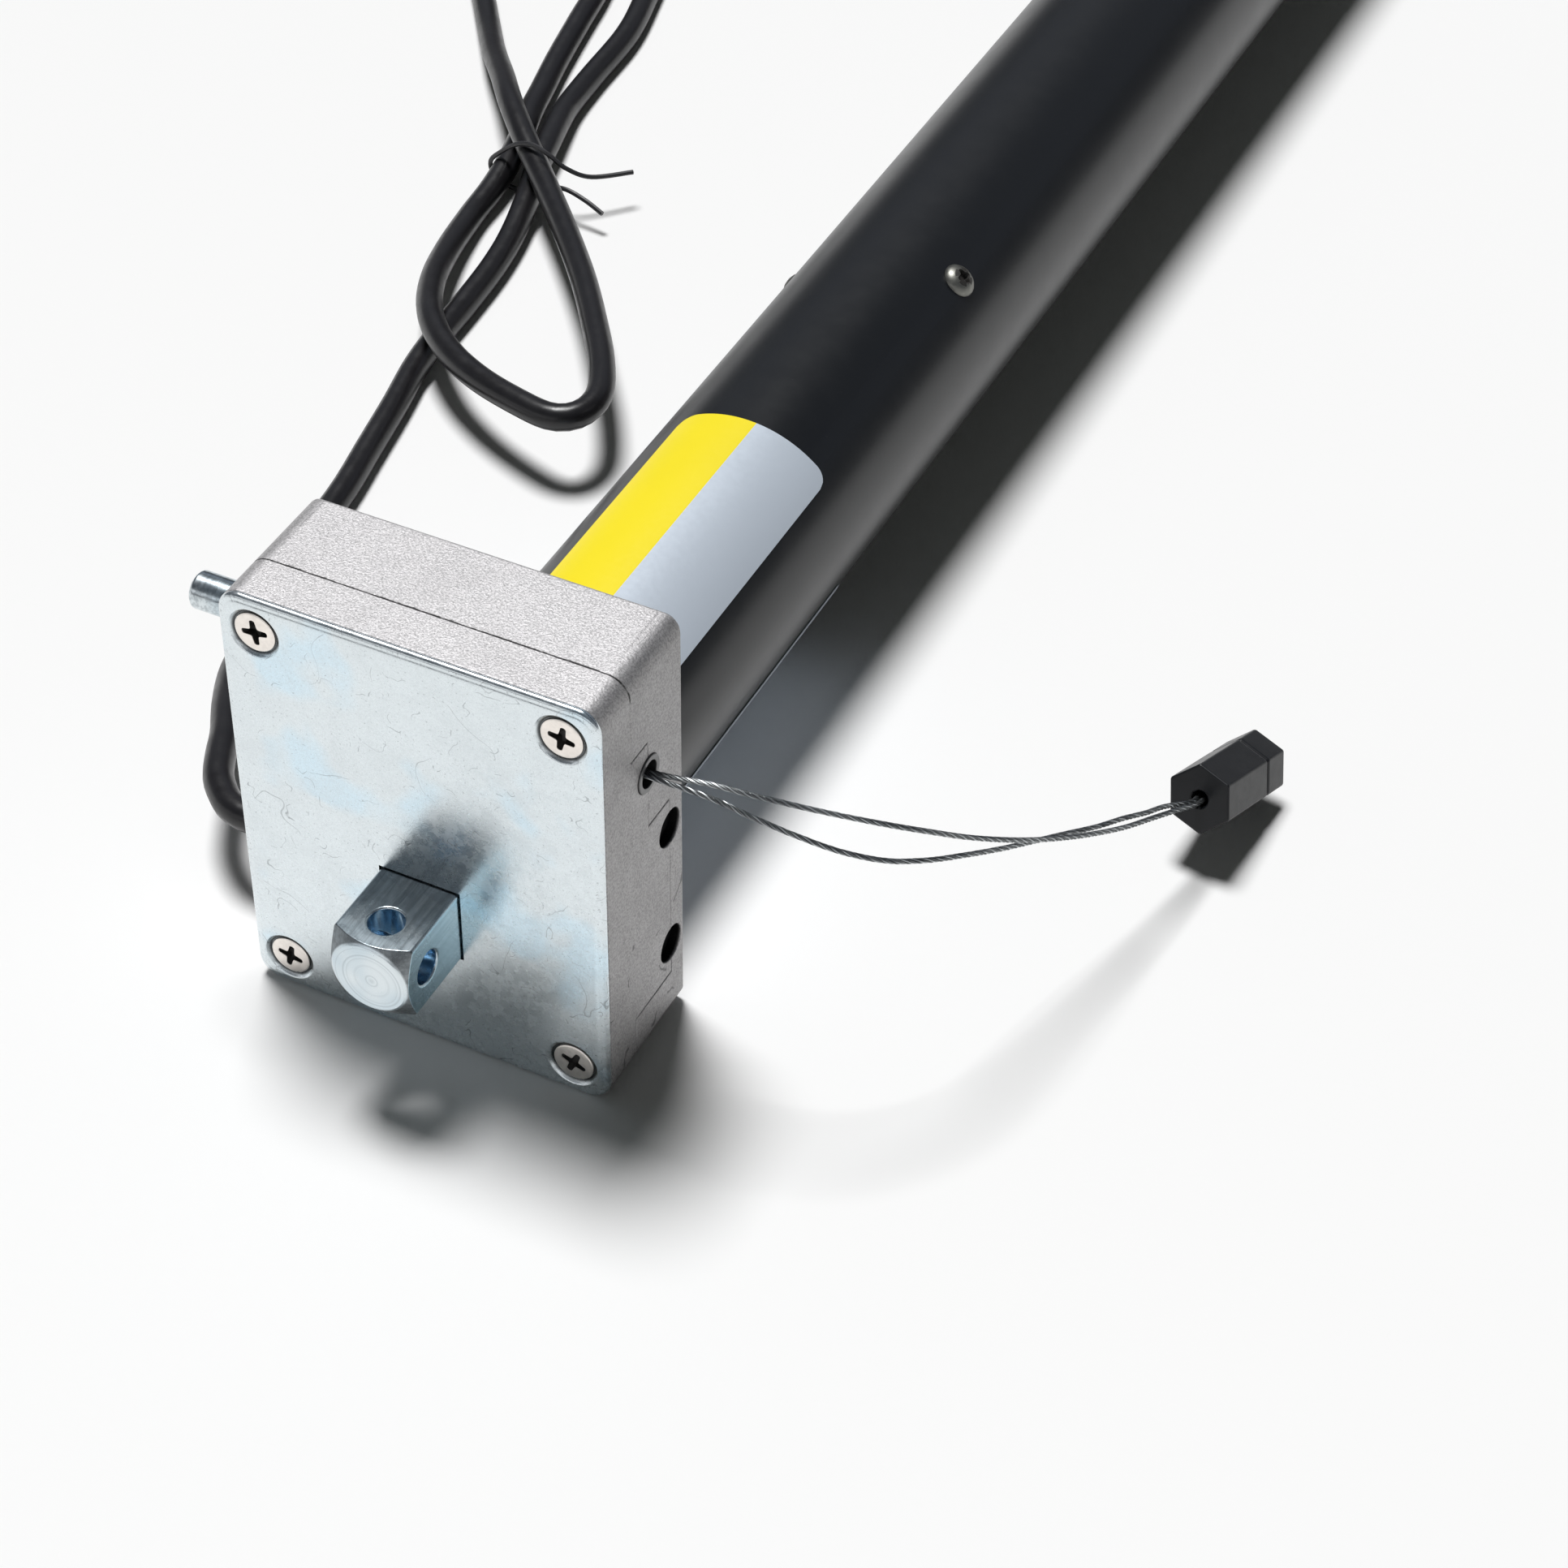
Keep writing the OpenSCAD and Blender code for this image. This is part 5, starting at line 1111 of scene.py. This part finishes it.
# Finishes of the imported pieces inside: maker, name, colour and the maker's other values, pieces
INNER = (
    (satin_steel, "gear_steel", (0.50, 0.50, 0.51), (0.28, 0.42),
     "crank_worm layshaft layshaft_pinion main_gear lever_pin release_lever release_spring "
     "gearbox_ring stage_1_carrier planet_1a planet_1b planet_1c planet_2a planet_2b planet_2c "
     "rotor_shaft brake_armature"),
    (satin_steel, "sintered_bronze", (0.55, 0.36, 0.18), (0.40, 0.55, 0.0003),
     "crank_bushes layshaft_bushes"),
    (satin_steel, "gear_brass", (0.74, 0.58, 0.28), (0.26, 0.38), "worm_wheel"),
    (satin_steel, "shield_alloy", (0.62, 0.62, 0.63), (0.36, 0.5), "front_end_shield rear_end_shield"),
    (satin_steel, "bearing_steel", (0.72, 0.72, 0.74), (0.14, 0.24), "rotor_bearings output_bearings"),
    (satin_steel, "core_sheets", (0.33, 0.33, 0.34), (0.36, 0.5, 0.0005),
     "stator_core rotor_core brake_coil"),
    (satin_steel, "enamelled_copper", (0.72, 0.34, 0.16), (0.22, 0.34), "stator_windings"),
    (moulded, "black_nylon", (0.022, 0.022, 0.024), (0.42, 0.56, 0.0004, 0.00001),
     "toothed_sleeve limit_frame limit_switches"),
    # Painted shade: the limit adjusters, deep in the side holes, are made near black
    (moulded, "adjuster_nylon", (0.006, 0.006, 0.006), (0.5, 0.6, 0.0004, 0.00001, 0.2),
     "limit_adjuster_up limit_adjuster_down"),
    (moulded, "white_nylon", (0.80, 0.79, 0.75), (0.40, 0.52, 0.0004, 0.00001),
     "sleeve_bearing limit_nut_up limit_nut_down capacitor"),
    (moulded, "brake_lining", (0.20, 0.14, 0.10), (0.7, 0.85, 0.0003, 0.00004), "brake_disc"),
    (moulded, "drive_nylon", (0.27, 0.28, 0.29), (0.40, 0.55, 0.0005, 0.000015), ""),
    # Painted shade: the wire collar in its hole is darkened
    (satin_steel, "collar_steel", (0.16, 0.16, 0.16), (0.3, 0.45), ""))
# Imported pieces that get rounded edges: the new piece's name, its node, rounding and finish
SOFTENED = (
    ("wire_collar", "wire_bush", 0.00015, "collar_steel"), ("tail_cap", "end_cap", 0.0005, "black_nylon"),
    ("drive_crown", "drive_wheel", 0.0006, "drive_nylon"),
    ("output_shaft", "output_carrier", 0.0003, "gear_steel"),
    ("retaining_ring", "wheel_circlip", 0.00015, "gear_steel"))


class OBJECT_OT_motor_inside(bpy.types.Operator):
    """Gives every other piece its finish"""

    bl_idname = "object.motor_inside"
    bl_label = "Gears, motor and drive"

    def execute(self, context):
        made = {}
        for make, name, colour, values, nodes in INNER:
            made[name] = make(name, colour, *values)
            paint(nodes, made[name])
        for name, node, edge, finish in SOFTENED:
            softened(name, node, edge, made[finish])
        return {"FINISHED"}


# The room's glow from the front horizon (0 degrees) over the zenith (90) to the back horizon
# (180): degrees, then red, green and blue
ROOM_BANDS = (
    (0, 0.10, 0.10, 0.11), (9, 0.10, 0.11, 0.12), (13, 0.95, 0.95, 0.96), (25, 0.92, 0.92, 0.94),
    (33, 0.08, 0.09, 0.10), (92, 0.14, 0.15, 0.17), (112, 0.06, 0.065, 0.075),
    (134, 0.03, 0.033, 0.038), (146, 0.20, 0.22, 0.26), (152, 0.28, 0.30, 0.35),
    (157, 0.22, 0.24, 0.28), (165, 0.03, 0.033, 0.038), (180, 0.05, 0.05, 0.055))
ROOM_FILL = (0.038, 0.040, 0.037)
TABLE_REACH = 6.0
LAMP_FROM, LAMP_POWER, LAMP_WIDTH = (-0.245, 0.225, 1.0), 3.25, 18


class OBJECT_OT_motor_stage(bpy.types.Operator):
    """Makes the white table, the soft lamp above and behind, and the room"""

    bl_idname = "object.motor_stage"
    bl_label = "Table and light"

    def execute(self, context):
        surface = Finish("table_paint", base_color=colours().table, roughness=0.6,
                         specular_ior_level=0.15)
        surface.add_height(surface.noise(0.0015, 2.0, 0.5), 0.00001)
        corners = [(x * TABLE_REACH, y * TABLE_REACH, TABLE_Z)
                   for x, y in ((-1, -1), (1, -1), (1, 1), (-1, 1))]
        new_piece("table", mesh_of("table", corners, [(0, 1, 2, 3)]), [surface.done()])
        sun = bpy.data.lights.new("soft_lamp", "SUN")
        sun.energy = LAMP_POWER
        sun.angle = math.radians(LAMP_WIDTH)
        lamp = placed("soft_lamp", sun)
        lamp.rotation_euler = Vector(LAMP_FROM).to_track_quat("Z", "Y").to_euler()
        self.room(context.scene)
        context.scene.view_settings.view_transform = "Standard"
        return {"FINISHED"}

    def room(self, scene):
        """White for the camera, dim for the fill, and bands from front to back for the reflections."""
        world = bpy.data.worlds.new("room")
        world.use_nodes = True
        tree = Nodes(world.node_tree)
        way = tree.node("ShaderNodeTexCoord").outputs["Generated"]
        way = tree.node("ShaderNodeSeparateXYZ", (0, way)).outputs
        angle = tree.math("ARCTAN2", way["Z"], tree.math("MULTIPLY", way["Y"], -1.0))
        bands = tree.node("ShaderNodeValToRGB", (0, tree.math("DIVIDE", angle, math.pi)))
        ramp = bands.color_ramp
        while len(ramp.elements) > 1:
            ramp.elements.remove(ramp.elements[0])
        for i, (degrees, *colour) in enumerate(ROOM_BANDS):
            element = ramp.elements[0] if i == 0 else ramp.elements.new(degrees / 180)
            element.position = degrees / 180
            element.color = (*colour, 1.0)
        fill, white, glow = (tree.node("ShaderNodeBackground", ("Color", colour)).outputs[0]
                             for colour in (ROOM_FILL, (1, 1, 1), bands.outputs["Color"]))
        ray = tree.node("ShaderNodeLightPath").outputs
        shiny = tree.node("ShaderNodeMixShader", (0, ray["Is Glossy Ray"]), (1, fill), (2, glow))
        seen = tree.node("ShaderNodeMixShader", (0, ray["Is Camera Ray"]), (1, shiny.outputs[0]),
                         (2, white))
        tree.node("ShaderNodeOutputWorld", ("Surface", seen.outputs[0]))
        scene.world = world


class VIEW3D_PT_motor(bpy.types.Panel):
    """Sidebar panel with the motor's sizes, colours and steps"""

    bl_label = "Blind Motor"
    bl_idname = "VIEW3D_PT_motor"
    bl_space_type = "VIEW_3D"
    bl_region_type = "UI"
    bl_category = "Blind Motor"

    def draw(self, context):
        for group in (context.scene.motor_sizes, context.scene.motor_colours):
            box = self.layout.box()
            for name in group.__annotations__:
                box.prop(group, name)
        for step in STEPS:
            self.layout.operator(step.bl_idname)


STEPS = (
    OBJECT_OT_motor_camera, OBJECT_OT_motor_power_cord, OBJECT_OT_motor_release_wire,
    OBJECT_OT_motor_cover_plate, OBJECT_OT_motor_castings, OBJECT_OT_motor_stub,
    OBJECT_OT_motor_screws, OBJECT_OT_motor_tube, OBJECT_OT_motor_inside, OBJECT_OT_motor_stage,
)
CLASSES = (MotorSizes, MotorColours, *STEPS, VIEW3D_PT_motor)


def register():
    for made in CLASSES:
        bpy.utils.register_class(made)
    bpy.types.Scene.motor_sizes = PointerProperty(type=MotorSizes)
    bpy.types.Scene.motor_colours = PointerProperty(type=MotorColours)


def unregister():
    del bpy.types.Scene.motor_colours
    del bpy.types.Scene.motor_sizes
    for made in reversed(CLASSES):
        bpy.utils.unregister_class(made)


def main():
    register()
    bpy.ops.object.motor_camera()
    bpy.ops.object.motor_power_cord()
    bpy.ops.object.motor_release_wire()
    bpy.ops.object.motor_cover_plate()
    bpy.ops.object.motor_castings()
    bpy.ops.object.motor_stub()
    bpy.ops.object.motor_screws()
    bpy.ops.object.motor_tube()
    bpy.ops.object.motor_inside()
    bpy.ops.object.motor_stage()


if __name__ == "__main__":
    main()
